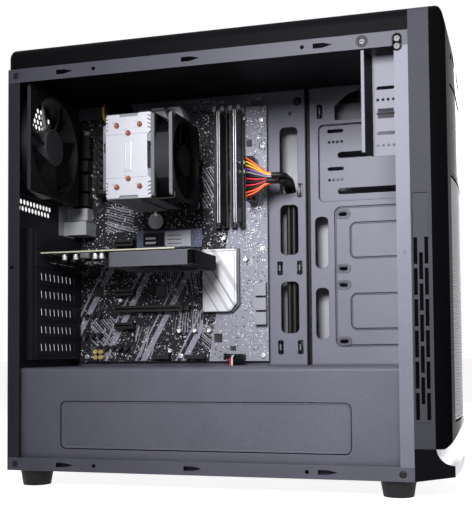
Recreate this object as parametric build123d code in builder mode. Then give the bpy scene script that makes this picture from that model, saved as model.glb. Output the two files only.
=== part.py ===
from build123d import *
import os
from math import sqrt

# Desktop computer tower with its left side panel off, in millimetres.
# +Z is up, the front faces -Y, the open side faces -X, and the origin is on the floor under the middle.

# Steel body
width = 198
body_depth = 436
body_height = 439
sheet = 0.8
cable_space = 27.2
panel_gap = 0.2
rail_low = 13.7
rail_high = 15
column_rear = 14
column_front = 13.5
rail_slots = (68, 212, 352)
rail_slot_length = 20
rail_slot_width = 5
rail_holes = (102, 331)
rail_hole = 4.2
column_hole_height = 220
seat_pad = 4

# Plastic parts and feet
foot_height = 17
foot_top = 36
foot_bottom = 30
foot_inset = 23
foot_ahead = (24, 418)
cover_height = 24
cover_round = 12
plastic_wall = 2.5
bezel_depth = 42
bezel_flat = 19
bezel_edge = 35.5
bezel_turn = 8
bezel_low = 31.5
fit_gap = 0.3
rear_standout = 6

# Screws
screw_head = 6.5
screw_head_height = 2
screw_shank = 3.3
screw_length = 5
screw_hole = 3.7
thumb_head = 11
thumb_shank = 3.4
thumb_length = 8
thumb_spacing = 340

# Main board, its spacers and its holes
board_depth = 244
board_height = 305
pcb = 1.6
standoff_height = 6.4
standoff_across = 5
board_rear = 9
board_low = 115
board_hole = 3.9
board_columns = (10.16, 134.62, 237.49)
board_rows = (6.35, 133.35, 288.29)
aperture_depth = 44.45
aperture_height = 158.75
aperture_low = 266.9
aperture_under = 2.9

# Card slots
slot_count = 7
slot_pitch = 20.32
slot_low = 132.8
slot_recess = 11
slot_opening = 13
bracket_width = 18.4
bracket_height = 118
bracket_tab = 10.5
bracket_foot = 10
slit_count = 9
slit_pitch = 10.4
slit_start = 22
card_slot = 5
card_offset = 6.1

# Fans
fan_depth = 25
fan_flange = 4
fan_wall = 2
fan_corner = 5
fan_bolt_hole = 4.3
fan_strut = 5
fan_plate = 3
fan_tip_gap = 1.5
shaft = 3
shaft_clearance = 0.05
case_fan = 120
case_fan_bore = case_fan - 7
case_fan_hub = 42
case_fan_bolts = case_fan - 15
cooler_fan = 92
cooler_fan_bore = cooler_fan - 5
cooler_fan_hub = 36
cooler_fan_bolts = cooler_fan - 9.5
rear_fan_inset = 3
rear_fan_height = 364
mesh_hole = 6
mesh_pitch = 7.6

# Power supply and its cover
psu_width = 150
psu_height = 86
psu_length = 140
psu_wall = 1
psu_gap = 2
shroud_height = 110
shroud_inset = 8
shroud_bend = 4
emboss = 2

# Drive bay and front openings
bay_low = 305
bay_height = 42.5
bay_width = 149
bay_count = 2
bay_cover_gap = 0.3
bracket_inset = 24.3
bracket_ahead = 397.5
front_fan_heights = (99, 222)
mesh_low = 56
mesh_high = 298
mesh_half = 75
mesh_sink = 0.8
vent_low = 56
vent_high = 278
vent_width = 15
vent_middle = 9.2
control_height = 419

# Tower cooler
cpu_ahead = 130
cpu_height = 341
cooler_height = 134
cooler_width = 53
cooler_tall = 94
cooler_base_height = 12
cpu_stack = 7.5
fin_pitch = 3.2
fin = 0.6
fin_start = 33
pipe = 6
pipe_fit = 0.05
pipe_bend = 12
pipe_rise = 4
pipe_rows = ((-13.5, 34), (0, 25), (13.5, 34))

# Memory
memory_first = 193
memory_pitch = 10
memory_low = 274
memory_length = 133.35
memory_tall = 31
memory_board = 1.4
memory_used = (1, 3)
latch_pivot = 4
latch_pin = 1
latch_gap = 0.3

# Graphics card
card_length = 162
card_near = 112
card_cooler_start = 95
card_cooler_length = 102
card_cooler_depth = 88
card_cooler_thick = 16.5
card_fan_bore = 82
card_fan_hub = 28
card_fan_depth = 12

# Places worked out from the sizes above
left = -width / 2
right = width / 2
rear = (body_depth + bezel_depth - rear_standout) / 2
front = rear - body_depth
floor = foot_height
roof = floor + body_height
top = roof + cover_height
frame_right = right - sheet - panel_gap
tray_x = frame_right - cable_space - sheet
board_top = tray_x - standoff_height - pcb


def inward(distance):
    """X at a distance in from the open side."""
    return left + distance


def ahead(distance):
    """Y at a distance ahead of the rear edge."""
    return rear - distance


def above(height):
    """Z at a height above the underside of the steel floor."""
    return floor + height


def off_board(height):
    """X at a height off the main board's face."""
    return board_top - height


def facing_front(y):
    """Sketch plane across the case, extruding towards the front."""
    return Plane.XZ.offset(-y)


def facing_right(x):
    """Sketch plane along the case, extruding away from the open side."""
    return Plane.YZ.offset(x)


def facing_up(z):
    """Level sketch plane, extruding upwards."""
    return Plane.XY.offset(z)


def slab(x0, x1, y0, y1, z0, z1, mode=Mode.ADD):
    """Box between two corners, for the part being built."""
    with Locations(((x0 + x1) / 2, (y0 + y1) / 2, (z0 + z1) / 2)):
        Box(abs(x1 - x0), abs(y1 - y0), abs(z1 - z0), mode=mode)


def patch(u0, u1, v0, v1, mode=Mode.ADD):
    """Rectangle between two corners, for the sketch being drawn."""
    with Locations(((u0 + u1) / 2, (v0 + v1) / 2)):
        Rectangle(abs(u1 - u0), abs(v1 - v0), mode=mode)


def window(u0, u1, v0, v1, corner):
    """Opening with round corners, cut from the sketch being drawn."""
    with Locations(((u0 + u1) / 2, (v0 + v1) / 2)):
        RectangleRounded(abs(u1 - u0), abs(v1 - v0), corner, mode=Mode.SUBTRACT)


def rod(seat, radius, low, high, mode=Mode.ADD):
    """Cylinder standing on a plane between two heights, for the part being built."""
    with Locations(seat):
        with Locations((0, 0, (low + high) / 2)):
            Cylinder(radius, high - low, mode=mode)


def toward_open(x, y, z):
    """Plane at a point, looking out of the open side."""
    return Plane(origin=(x, y, z), x_dir=(0, -1, 0), z_dir=(-1, 0, 0))


def toward_rear(x, y, z):
    """Plane at a point, looking out of the back."""
    return Plane(origin=(x, y, z), x_dir=(-1, 0, 0), z_dir=(0, 1, 0))


def toward_front(x, y, z):
    """Plane at a point, looking out of the front."""
    return Plane(origin=(x, y, z), x_dir=(1, 0, 0), z_dir=(0, -1, 0))


def toward_floor(x, y, z):
    """Plane at a point, looking down."""
    return Plane(origin=(x, y, z), x_dir=(1, 0, 0), z_dir=(0, 0, -1))


def screw(seat):
    """Pan-head screw whose head stands on the seat plane."""
    rod(seat, screw_head / 2, 0, screw_head_height)
    rod(seat, screw_shank / 2, -screw_length, 0)


def hex_points(radius, pitch):
    """Centres of a hexagonal grid inside a circle about the origin."""
    row_step = pitch * sqrt(3) / 2
    rows = int(radius / row_step)
    points = []
    for row in range(-rows, rows + 1):
        shift = pitch / 2 if row % 2 else 0
        columns = int(radius / pitch) + 1
        for column in range(-columns, columns + 1):
            u = column * pitch + shift
            v = row * row_step
            if sqrt(u * u + v * v) <= radius:
                points.append((u, v))
    return points


def cable(points, radius, bends):
    """Round cable along straight runs joined by arcs."""
    with BuildPart() as run:
        with BuildLine() as route:
            FilletPolyline(*points, radius=bends)
        start = Plane(origin=route.line @ 0, z_dir=route.line % 0)
        with BuildSketch(start):
            Circle(radius)
        sweep(path=route.line)
    return run.part


def save(piece, name):
    """Labels a finished piece and writes its file."""
    piece.part.label = name
    export_step(piece.part, f"parts/{name}.step")


os.makedirs("parts", exist_ok=True)

# Left rail details shared by the floor and the roof
rail_screw_hole = screw_head + 2 * fit_gap
rail_screws_low = (9.5, 424.9)
rail_screws_high = (9.5, 391.3)
corner_slot_ahead = 425.6
corner_slot_low = 419
corner_slot_high = 436
corner_slot_width = 8


def rail_outline(z_low, z_high, screws):
    """Side rail with the hook slots and holes that the missing panel uses."""
    middle = (z_low + z_high) / 2
    patch(front, rear, z_low, z_high)
    tail = rail_slot_length / 2
    half = rail_slot_width / 2
    with Locations(*[(ahead(distance), middle) for distance in rail_slots]):
        Polygon(
            (tail, -half),
            (tail, half),
            (0, half),
            (-tail, 0),
            (0, -half),
            align=None,
            mode=Mode.SUBTRACT,
        )
    with Locations(*[(ahead(distance), middle) for distance in rail_holes]):
        Circle(rail_hole / 2, mode=Mode.SUBTRACT)
    with Locations(*[(ahead(distance), middle) for distance in screws]):
        Circle(rail_screw_hole / 2, mode=Mode.SUBTRACT)


def corner_slot():
    """Upright slot at the top of the front column, through the rail and the column."""
    middle = (above(corner_slot_low) + above(corner_slot_high)) / 2
    with Locations((ahead(corner_slot_ahead), middle)):
        SlotOverall(corner_slot_high - corner_slot_low, corner_slot_width, rotation=90, mode=Mode.SUBTRACT)


rail_low_middle = above(rail_low / 2)
rail_high_middle = roof - rail_high / 2

# Power supply place, which the floor, the rear wall and the cover follow
shroud_face = inward(shroud_inset)
psu_left = shroud_face + sheet + psu_gap
psu_right = psu_left + psu_width
psu_rear = rear - sheet
psu_front = psu_rear - psu_length
psu_floor = floor + sheet + seat_pad
psu_roof = psu_floor + psu_height
psu_x = (psu_left + psu_right) / 2
psu_fan_y = psu_rear - psu_length / 2
psu_screws = ((-69, 6), (69, 6), (69, 70), (-45, 80))
psu_vent = 59
psu_window = 62

# Floor with its two rails
with BuildPart() as bottom_pan:
    with BuildSketch(facing_up(floor)):
        patch(left, frame_right, front, rear)
        with Locations((psu_x, psu_fan_y)):
            with GridLocations(26, 9, 4, 12):
                SlotOverall(22, 5, mode=Mode.SUBTRACT)
    extrude(amount=sheet)
    with BuildSketch(facing_right(left)):
        rail_outline(floor, above(rail_low), rail_screws_low)
    extrude(amount=sheet)
    slab(frame_right - sheet, frame_right, front, rear, floor, above(rail_low))
    for side in (psu_left + seat_pad, psu_right - 3 * seat_pad):
        slab(side, side + 2 * seat_pad, psu_front, psu_rear, floor + sheet, psu_floor)
save(bottom_pan, "bottom_pan")

# Roof with its two rails
with BuildPart() as top_plate:
    slab(left, frame_right, front, rear, roof - sheet, roof)
    with BuildSketch(facing_right(left)):
        rail_outline(roof - rail_high, roof, rail_screws_high)
        corner_slot()
    extrude(amount=sheet)
    slab(frame_right - sheet, frame_right, front, rear, roof - rail_high, roof)
save(top_plate, "top_plate")

# Places on the rear wall
rear_fan_x = inward(rear_fan_inset) + case_fan / 2
rear_fan_z = above(rear_fan_height)
aperture_right = board_top + aperture_under
aperture_left = aperture_right - aperture_depth
aperture_bottom = above(aperture_low)
aperture_top = aperture_bottom + aperture_height
recess_y = ahead(slot_recess)
recess_left = off_board(bracket_height + bracket_foot)
recess_right = off_board(4)
recess_bottom = above(slot_low - 0.65 * slot_pitch)
recess_top = above(slot_low + (slot_count - 1) * slot_pitch + 0.58 * slot_pitch)
slot_heights = [above(slot_low + index * slot_pitch) for index in range(slot_count)]
tab_x = off_board(bracket_height)
tab_screw_y = recess_y + sheet + bracket_tab / 2
thumb_x = (frame_right - 8, left + 9)
thumb_heights = [above(body_height / 2) - thumb_spacing / 2, above(body_height / 2) + thumb_spacing / 2]
vent_row_heights = (290, 297.5)
vent_row_left = inward(24)
vent_row_count = 10

# Rear wall: fan grille, socket opening, recessed slot area, power supply opening and columns
with BuildPart() as rear_panel:
    with BuildSketch(facing_front(rear)):
        patch(left + sheet, frame_right - sheet, floor + sheet, roof - sheet)
        patch(aperture_left, aperture_right, aperture_bottom, aperture_top, mode=Mode.SUBTRACT)
        patch(recess_left, recess_right, recess_bottom, recess_top, mode=Mode.SUBTRACT)
        window(psu_x - psu_window, psu_x + psu_window, psu_floor + 11, psu_roof - 11, 4)
        grille = [(rear_fan_x + u, rear_fan_z + v) for u, v in hex_points(case_fan_bore / 2 - 4, mesh_pitch)]
        grille = [point for point in grille if point[0] < aperture_left - mesh_hole]
        with Locations(*grille):
            Circle(mesh_hole / 2, mode=Mode.SUBTRACT)
        for row, height in enumerate(vent_row_heights):
            start = vent_row_left + row * mesh_pitch / 2
            with Locations(*[(start + mesh_pitch * index, above(height)) for index in range(vent_row_count)]):
                Circle(mesh_hole / 2, mode=Mode.SUBTRACT)
        with Locations((rear_fan_x, rear_fan_z)):
            with GridLocations(case_fan_bolts, case_fan_bolts, 2, 2):
                Circle(fan_bolt_hole / 2, mode=Mode.SUBTRACT)
        with Locations(*[(psu_x + u, psu_floor + v) for u, v in psu_screws]):
            Circle(screw_hole / 2, mode=Mode.SUBTRACT)
        with Locations(*[(x, z) for x in thumb_x for z in thumb_heights]):
            Circle(screw_hole / 2, mode=Mode.SUBTRACT)
    extrude(amount=sheet)
    with BuildSketch(facing_right(left)):
        patch(ahead(column_rear), rear, above(rail_low), roof - rail_high)
        with Locations((ahead(4.7), above(column_hole_height))):
            Circle(rail_hole / 2, mode=Mode.SUBTRACT)
    extrude(amount=sheet)
    slab(frame_right - sheet, frame_right, ahead(column_rear), rear, above(rail_low), roof - rail_high)
    with BuildSketch(facing_front(rear - sheet)):
        patch(recess_left - sheet, recess_right + sheet, recess_bottom - sheet, recess_top + sheet)
        patch(recess_left, recess_right, recess_bottom, recess_top, mode=Mode.SUBTRACT)
    extrude(amount=slot_recess - sheet)
    with BuildSketch(facing_front(recess_y + sheet)):
        patch(recess_left, recess_right, recess_bottom, recess_top)
        for height in slot_heights:
            patch(
                off_board(bracket_height - 5),
                off_board(bracket_foot + 2),
                height - slot_opening / 2,
                height + slot_opening / 2,
                mode=Mode.SUBTRACT,
            )
            patch(
                tab_x - sheet - fit_gap,
                tab_x,
                height - bracket_width / 2 - fit_gap,
                height + bracket_width / 2 + fit_gap,
                mode=Mode.SUBTRACT,
            )
    extrude(amount=sheet)
    slab(tab_x, tab_x + sheet, recess_y + sheet, rear - sheet, recess_bottom, recess_top)
    for height in slot_heights:
        rod(toward_open(tab_x + sheet, tab_screw_y, height), screw_hole / 2, 0, sheet, mode=Mode.SUBTRACT)
save(rear_panel, "rear_panel")


def slot_bracket(height):
    """Blank bracket of one card slot: a strip inside the wall with its tab bent out."""
    half = bracket_width / 2
    slab(tab_x - sheet, off_board(bracket_foot - 5), recess_y - sheet, recess_y, height - half, height + half)
    slab(tab_x - sheet, tab_x, recess_y, recess_y + sheet + bracket_tab - 1, height - half, height + half)
    rod(toward_open(tab_x, tab_screw_y, height), screw_hole / 2, 0, sheet, mode=Mode.SUBTRACT)


# Blank slot covers with slanted slits, the top one plain
with BuildPart() as slot_covers:
    for index, height in enumerate(slot_heights):
        if index != card_slot:
            slot_bracket(height)
    for height in slot_heights[:card_slot]:
        with BuildSketch(facing_front(recess_y)):
            for step in range(slit_count):
                with Locations((off_board(slit_start + step * slit_pitch), height)):
                    SlotOverall(9, 2.2, rotation=102, mode=Mode.ADD)
        extrude(amount=sheet, mode=Mode.SUBTRACT)
save(slot_covers, "slot_covers")

# Front wall with the drive bay, two fan openings and the columns
bay_bottom = above(bay_low)
bay_top = bay_bottom + bay_count * bay_height
lead_hole_x = tray_x + cable_space / 2
lead_hole_z = above(44)
lead_hole = 16
with BuildPart() as front_plate:
    with BuildSketch(facing_front(front + sheet)):
        patch(left + sheet, frame_right - sheet, floor + sheet, roof - sheet)
        window(-bay_width / 2, bay_width / 2, bay_bottom, bay_top, 2)
        for height in front_fan_heights:
            with Locations((0, above(height))):
                Circle(case_fan_bore / 2, mode=Mode.SUBTRACT)
                with GridLocations(case_fan_bolts, case_fan_bolts, 2, 2):
                    Circle(fan_bolt_hole / 2, mode=Mode.SUBTRACT)
        with Locations((lead_hole_x, lead_hole_z)):
            Circle(lead_hole / 2, mode=Mode.SUBTRACT)
    extrude(amount=sheet)
    with BuildSketch(facing_right(left)):
        patch(front, front + column_front, above(rail_low), roof - rail_high)
        corner_slot()
        with Locations((ahead(430), above(column_hole_height))):
            Circle(rail_hole / 2, mode=Mode.SUBTRACT)
    extrude(amount=sheet)
    slab(frame_right - sheet, frame_right, front, front + column_front, above(rail_low), roof - rail_high)
save(front_plate, "front_plate")

# Inner wall that carries the board
shroud_top_height = above(shroud_height)
tray_windows = (
    (267, 288.5, 314, 393.5),
    (267, 288.5, 240.6, 300),
    (267, 288.5, 147.6, 208.5),
    (309, 324.5, 223.5, 284),
    (309, 324.5, 140, 200),
    (38, 78, 423, 437),
    (192, 217, 62, 90),
    (204, 224, 34, 54),
    (162, 188, 42, 64),
)
bay_panel = (313, 301, 394)
bay_sink = 5
bay_corner = 6
drive_panel = (332, 131, 295)
drive_pads = ((150, 193), (233, 276))
pad_start = 350
pad_end = 428
press_corner = 8
groove_width = 2.2
groove_depth = 1.6
channel = (298.5, 304.5)
channel_depth = 5
tie_bridges = ((266, 131), (290, 131), (266, 225), (290, 225), (291, 317), (316, 409))
tie_width = 6
tie_height = 13
tie_strap = 2.2
tie_rise = 2
pad_slots = ((342, 137), (342, 203), (342, 222), (342, 286))
bay_long_slots = ((336, 425, 357), (336, 425, 314))
bay_short_slots = ((324, 343, 386), (324, 343, 341))
bay_dots = (373, 328)
top_opening = ((334, 398), (364, 398), (364, 432), (350, 428), (334, 415))
tray_screw = (289, 424)
tray_hole = (280, 410)


def panel_outline(start, end, low, high, grow):
    """Rectangle with round corners on the inner wall, grown by a margin."""
    middle = ((ahead(start) + ahead(end)) / 2, (above(low) + above(high)) / 2)
    with Locations(middle):
        RectangleRounded(end - start + 2 * grow, high - low + 2 * grow, press_corner + grow)


def pressed_line(start, end, low, high):
    """Groove pressed into the inner wall along a rectangle's outline."""
    with BuildSketch(facing_right(tray_x)) as back:
        panel_outline(start, end, low, high, sheet)
        with Locations(((ahead(start) + ahead(end)) / 2, (above(low) + above(high)) / 2)):
            inner = 2 * (groove_width + sheet)
            RectangleRounded(end - start - inner, high - low - inner, press_corner / 2, mode=Mode.SUBTRACT)
    extrude(back.sketch, amount=groove_depth + sheet)
    with BuildSketch(facing_right(tray_x)) as line:
        panel_outline(start, end, low, high, 0)
        with Locations(((ahead(start) + ahead(end)) / 2, (above(low) + above(high)) / 2)):
            inner = 2 * groove_width
            RectangleRounded(
                end - start - inner,
                high - low - inner,
                press_corner / 2 + sheet,
                mode=Mode.SUBTRACT,
            )
    extrude(line.sketch, amount=groove_depth, mode=Mode.SUBTRACT)


def sunk_panel(start, low, high, depth):
    """Panel pressed away from the open side as far as the front, to give a drive its width."""
    slab(tray_x, tray_x + depth + sheet, front + sheet, ahead(start), above(low), above(high))
    far = body_depth + 2 * bay_corner
    with BuildSketch(facing_right(tray_x)) as hollow:
        with Locations(((ahead(start + sheet) + ahead(far)) / 2, (above(low) + above(high)) / 2)):
            RectangleRounded(far - start - sheet, high - low - 2 * sheet, bay_corner)
        patch(ahead(far), front + sheet, above(low), above(high), mode=Mode.SUBTRACT)
    extrude(hollow.sketch, amount=depth, mode=Mode.SUBTRACT)


def tray_slot(start, end, height, thick):
    """Level slot through the inner wall, from one distance ahead to another."""
    with BuildSketch(facing_right(tray_x - 2 * emboss)) as opening:
        with Locations((ahead((start + end) / 2), above(height))):
            SlotOverall(end - start, thick)
    extrude(opening.sketch, amount=2 * emboss + bay_sink + 2 * sheet, mode=Mode.SUBTRACT)


def slot_rim(distance, height):
    """Low raised rim around a slot in the inner wall."""
    with BuildSketch(facing_right(tray_x)) as rim:
        with Locations((ahead(distance), above(height))):
            SlotOverall(17, 10)
            SlotOverall(14, 7, mode=Mode.SUBTRACT)
    extrude(rim.sketch, amount=-sheet)


with BuildPart() as motherboard_tray:
    with BuildSketch(facing_right(tray_x)):
        patch(front + sheet, rear - sheet, floor + sheet, roof - sheet)
        for start, end, low, high in tray_windows:
            window(ahead(end), ahead(start), above(low), above(high), 6)
        Polygon(*[(ahead(u), above(v)) for u, v in top_opening], align=None, mode=Mode.SUBTRACT)
        for column in board_columns:
            for row in board_rows:
                with Locations((ahead(board_rear + column), above(board_low + row))):
                    Circle(screw_hole / 2, mode=Mode.SUBTRACT)
        tray_points = [(ahead(distance), above(height)) for distance, height in (tray_screw, tray_hole)]
        with Locations(*tray_points):
            Circle(screw_hole / 2, mode=Mode.SUBTRACT)
        for distance, height in tie_bridges:
            with Locations((ahead(distance), above(height))):
                Rectangle(tie_width, tie_height, mode=Mode.SUBTRACT)
    extrude(amount=sheet)
    sunk_panel(bay_panel[0], bay_panel[1], bay_panel[2], bay_sink)
    pressed_line(drive_panel[0], body_depth - 4, drive_panel[1], drive_panel[2])
    for low, high in drive_pads:
        pressed_line(pad_start, pad_end, low, high)
    channel_near = ahead(channel[1])
    channel_far = ahead(channel[0])
    slab(tray_x, tray_x + channel_depth, channel_near, channel_far, shroud_top_height, roof - sheet)
    slab(
        tray_x,
        tray_x + channel_depth - sheet,
        channel_near + sheet,
        channel_far - sheet,
        shroud_top_height + sheet,
        roof - sheet,
        mode=Mode.SUBTRACT,
    )
    for distance, height in tie_bridges:
        slab(
            tray_x - tie_rise,
            tray_x + sheet,
            ahead(distance + tie_strap / 2),
            ahead(distance - tie_strap / 2),
            above(height - tie_height / 2 - 1.5),
            above(height + tie_height / 2 + 1.5),
        )
    for distance, height in pad_slots:
        tray_slot(distance - 5, distance + 5, height, 4.5)
        slot_rim(distance, height)
    for start, end, height in bay_long_slots:
        tray_slot(start, end, height, 7)
    for start, end, height in bay_short_slots:
        tray_slot(start, end, height, 4)
    for height in bay_dots:
        for step in range(4):
            rod(
                toward_open(tray_x, ahead(326 + 5 * step), above(height)),
                1.4,
                -bay_sink - 2 * sheet,
                0,
                mode=Mode.SUBTRACT,
            )
save(motherboard_tray, "motherboard_tray")

# Cover over the power supply, an angle with a rolled edge and a pressed rectangle
shroud_top = shroud_top_height
leads_x = off_board(16)
leads_y = ahead(214)
shroud_rear = rear - sheet
shroud_front = front + sheet
press_start = 60
press_end = 374
press_low = 24
press_high = 74
press_round = 7
press_depth = 1.6
press_slope = 50
with BuildPart() as psu_shroud:
    with BuildSketch(facing_front(shroud_rear)):
        patch(shroud_face, tray_x, floor + sheet, shroud_top)
        patch(shroud_face + sheet, tray_x, floor + sheet, shroud_top - sheet, mode=Mode.SUBTRACT)
    extrude(amount=shroud_rear - shroud_front)
    bends = psu_shroud.edges().filter_by(Axis.Y)
    under_top = bends.filter_by(lambda edge: abs(edge.center().Z - shroud_top + sheet) < 0.1)
    inner_bend = under_top.sort_by(Axis.X)[0]
    fillet(inner_bend, shroud_bend - sheet)
    outer_bend = psu_shroud.edges().filter_by(Axis.Y).group_by(Axis.Z)[-1].sort_by(Axis.X)[0]
    fillet(outer_bend, shroud_bend)
    press_middle = (ahead((press_start + press_end) / 2), above((press_low + press_high) / 2))
    press_size = (press_end - press_start, press_high - press_low)
    with BuildSketch(facing_right(shroud_face)) as press_back:
        with Locations(press_middle):
            RectangleRounded(press_size[0] + 2 * sheet, press_size[1] + 2 * sheet, press_round)
    extrude(press_back.sketch, amount=press_depth + sheet, taper=press_slope)
    with BuildSketch(facing_right(shroud_face)) as press_face:
        with Locations(press_middle):
            RectangleRounded(press_size[0], press_size[1], press_round)
    extrude(press_face.sketch, amount=press_depth, taper=press_slope, mode=Mode.SUBTRACT)
    with BuildSketch(facing_up(shroud_top - sheet)):
        with Locations((leads_x, leads_y)):
            RectangleRounded(24, 40, 4)
    extrude(amount=sheet, mode=Mode.SUBTRACT)
save(psu_shroud, "psu_shroud")

# Near wall of the drive bay: a plate whose rear edge slants out to a narrow lip at the open side
bracket_x = inward(bracket_inset)
bracket_bottom = above(bay_low + 16)
bracket_dots = (378, 331.5)
bracket_slots = (390, 344)
bracket_lip_start = 389.8
bracket_lip_end = 392
lip_x = left + 2 * sheet
with BuildPart() as bay_bracket:
    with BuildSketch(facing_right(bracket_x)):
        patch(front + sheet, ahead(bracket_ahead), bracket_bottom, roof - sheet)
        for height in bracket_slots:
            with Locations((ahead(411), above(height))):
                SlotOverall(18, 3.5, mode=Mode.SUBTRACT)
        for height in bracket_dots:
            with Locations((ahead(411), above(height))):
                with GridLocations(5.2, 1, 4, 1):
                    Circle(1.5, mode=Mode.SUBTRACT)
        window(ahead(419), ahead(403), above(359), above(369), 1)
    extrude(amount=sheet)
    with BuildSketch(facing_up(bracket_bottom)):
        Polygon(
            (lip_x, ahead(bracket_lip_end)),
            (bracket_x + sheet, ahead(bracket_ahead)),
            (bracket_x + sheet, ahead(bracket_ahead) - sheet),
            (lip_x, ahead(bracket_lip_end) - sheet),
            align=None,
        )
        patch(lip_x, lip_x + sheet, ahead(bracket_lip_end) - sheet, ahead(bracket_lip_start))
    extrude(amount=roof - rail_high - 1 - bracket_bottom)
    slab(
        bracket_x - 2 * sheet,
        bracket_x + sheet,
        ahead(420),
        ahead(402),
        above(363.5),
        above(364.5),
    )
save(bay_bracket, "bay_bracket")


def cover_block(inset):
    """Form of the plastic cap, drawn in by an inset."""
    with BuildPart() as block:
        slab(left + inset, right - inset, front + inset, rear - inset, roof, top - inset)
        upper = block.edges().group_by(Axis.Z)[-1]
        fillet(upper.filter_by(Axis.Y), cover_round - inset)
        fillet(block.faces().sort_by(Axis.Z)[-1].edges().sort_by(Axis.Y)[-1], cover_round / 2 - inset)
    return block.part


# Plastic cap on the roof
with BuildPart() as top_cover:
    add(cover_block(0))
    add(cover_block(plastic_wall), mode=Mode.SUBTRACT)
save(top_cover, "top_cover")

# Four feet
with BuildPart() as feet:
    for side in (left + foot_inset, right - foot_inset):
        for distance in foot_ahead:
            with BuildSketch(Plane((side, ahead(distance), 0))):
                Circle(foot_bottom / 2)
            with BuildSketch(Plane((side, ahead(distance), foot_height))):
                Circle(foot_top / 2)
            loft()
save(feet, "feet")

# Closed side panel with its rear edge folded behind the rear wall
panel_bottom = floor
panel_top = roof - fit_gap
fold_y = rear + panel_gap
with BuildPart() as right_side_panel:
    slab(right - sheet, right, front + fit_gap, fold_y + sheet, panel_bottom, panel_top)
    slab(thumb_x[0] - 6, right - sheet, fold_y, fold_y + sheet, above(rail_low), roof - rail_high)
    for height in thumb_heights:
        rod(toward_rear(thumb_x[0], fold_y, height), screw_hole / 2, 0, sheet, mode=Mode.SUBTRACT)
save(right_side_panel, "right_side_panel")

# Thumbscrews of the side panel
with BuildPart() as panel_thumbscrews:
    for height in thumb_heights:
        seat = toward_rear(thumb_x[0], fold_y + sheet, height)
        rod(seat, thumb_head / 2, 0, rear_standout - panel_gap - sheet)
        rod(seat, thumb_shank / 2, -thumb_length, 0)
save(panel_thumbscrews, "panel_thumbscrews")


def bezel_block(inset, back):
    """Outer form of the plastic front, drawn in by an inset, as far back as a given Y."""
    half = width / 2 - inset
    nose = front - bezel_depth + inset
    edge = front - bezel_edge + inset
    turn = front - bezel_flat
    low = above(bezel_low) + inset
    high = top - inset
    with BuildPart() as block:
        with BuildSketch(facing_up(low)):
            with BuildLine():
                Polyline((-half, turn), (-half, back), (half, back), (half, turn))
                ThreePointArc(
                    (half, turn),
                    (half - 0.3 * bezel_turn, (turn + edge) / 2 - 1.5),
                    (half - bezel_turn, edge),
                )
                ThreePointArc((half - bezel_turn, edge), (0, nose), (bezel_turn - half, edge))
                ThreePointArc(
                    (bezel_turn - half, edge),
                    (0.3 * bezel_turn - half, (turn + edge) / 2 - 1.5),
                    (-half, turn),
                )
            make_face()
        extrude(amount=high - low)
        with BuildSketch(facing_right(-half)):
            with BuildLine():
                Polyline((back, high), (back, low), (front - 28 + inset, low))
                ThreePointArc(
                    (front - 28 + inset, low),
                    (nose + 4.5, low + 9),
                    (nose + 1, low + 28),
                )
                Polyline(
                    (nose + 1, low + 28),
                    (nose, above(176)),
                    (nose, above(360)),
                    (nose + 1.5, above(424) - inset),
                    (nose + 9, high - 9),
                )
                ThreePointArc((nose + 9, high - 9), (nose + 13, high - 3.2), (nose + 20, high))
                Line((nose + 20, high), (back, high))
            make_face()
        extrude(amount=2 * half, mode=Mode.INTERSECT)
        with BuildSketch(facing_front(back)):
            with BuildLine():
                Polyline((-half, high - cover_round), (-half, low), (half, low), (half, high - cover_round))
                RadiusArc((half, high - cover_round), (half - cover_round, high), -cover_round)
                Line((half - cover_round, high), (cover_round - half, high))
                RadiusArc((cover_round - half, high), (-half, high - cover_round), -cover_round)
            make_face()
        extrude(amount=bezel_depth + 5, mode=Mode.INTERSECT)
    return block.part


# Front shell and what its openings hold
button_width = 26
button_height = 10
button_x = 46
reset_width = 9
reset_x = 16
port_places = (-14, -34)
jack_places = (-52, -64)
usb_width = 13.6
usb_height = 6.2
jack_hole = 7
control_z = above(control_height)
bezel_face = front - bezel_depth
vent_y = front - vent_middle
bay_cover_half = bay_width / 2
port_board_y = bezel_face + 16
port_depth = 14
port_board_thick = 1.6

bezel_skin = bezel_block(0, front)
bezel_core = bezel_block(plastic_wall, front + 1)
with BuildPart() as front_bezel:
    add(bezel_skin)
    add(bezel_core, mode=Mode.SUBTRACT)
    slab(
        -mesh_half,
        mesh_half,
        bezel_face - 1,
        bezel_face + 22,
        above(mesh_low),
        above(mesh_high),
        mode=Mode.SUBTRACT,
    )
    slab(
        -bay_cover_half,
        bay_cover_half,
        bezel_face - 1,
        bezel_face + 22,
        bay_bottom,
        bay_top,
        mode=Mode.SUBTRACT,
    )
    with BuildSketch(facing_right(left)):
        patch(vent_y - vent_width / 2, vent_y + vent_width / 2, above(vent_low), above(vent_high))
    extrude(amount=width, mode=Mode.SUBTRACT)
    with BuildSketch(facing_front(bezel_face + 22)):
        with Locations((button_x, control_z)):
            RectangleRounded(button_width + 2 * fit_gap, button_height + 2 * fit_gap, 3)
        with Locations((reset_x, control_z)):
            Circle(reset_width / 2 + fit_gap)
        for place in port_places:
            with Locations((place, control_z)):
                Rectangle(usb_width + 2 * fit_gap, usb_height + 2 * fit_gap)
        for place in jack_places:
            with Locations((place, control_z)):
                Circle(jack_hole / 2 + fit_gap)
    extrude(amount=30, mode=Mode.SUBTRACT)
    for place in (-78, 70):
        rod(toward_front(place, port_board_y, control_z), 3, 0, 13)
    add(bezel_block(-20, front).cut(bezel_skin), mode=Mode.SUBTRACT)
save(front_bezel, "front_bezel")

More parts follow.
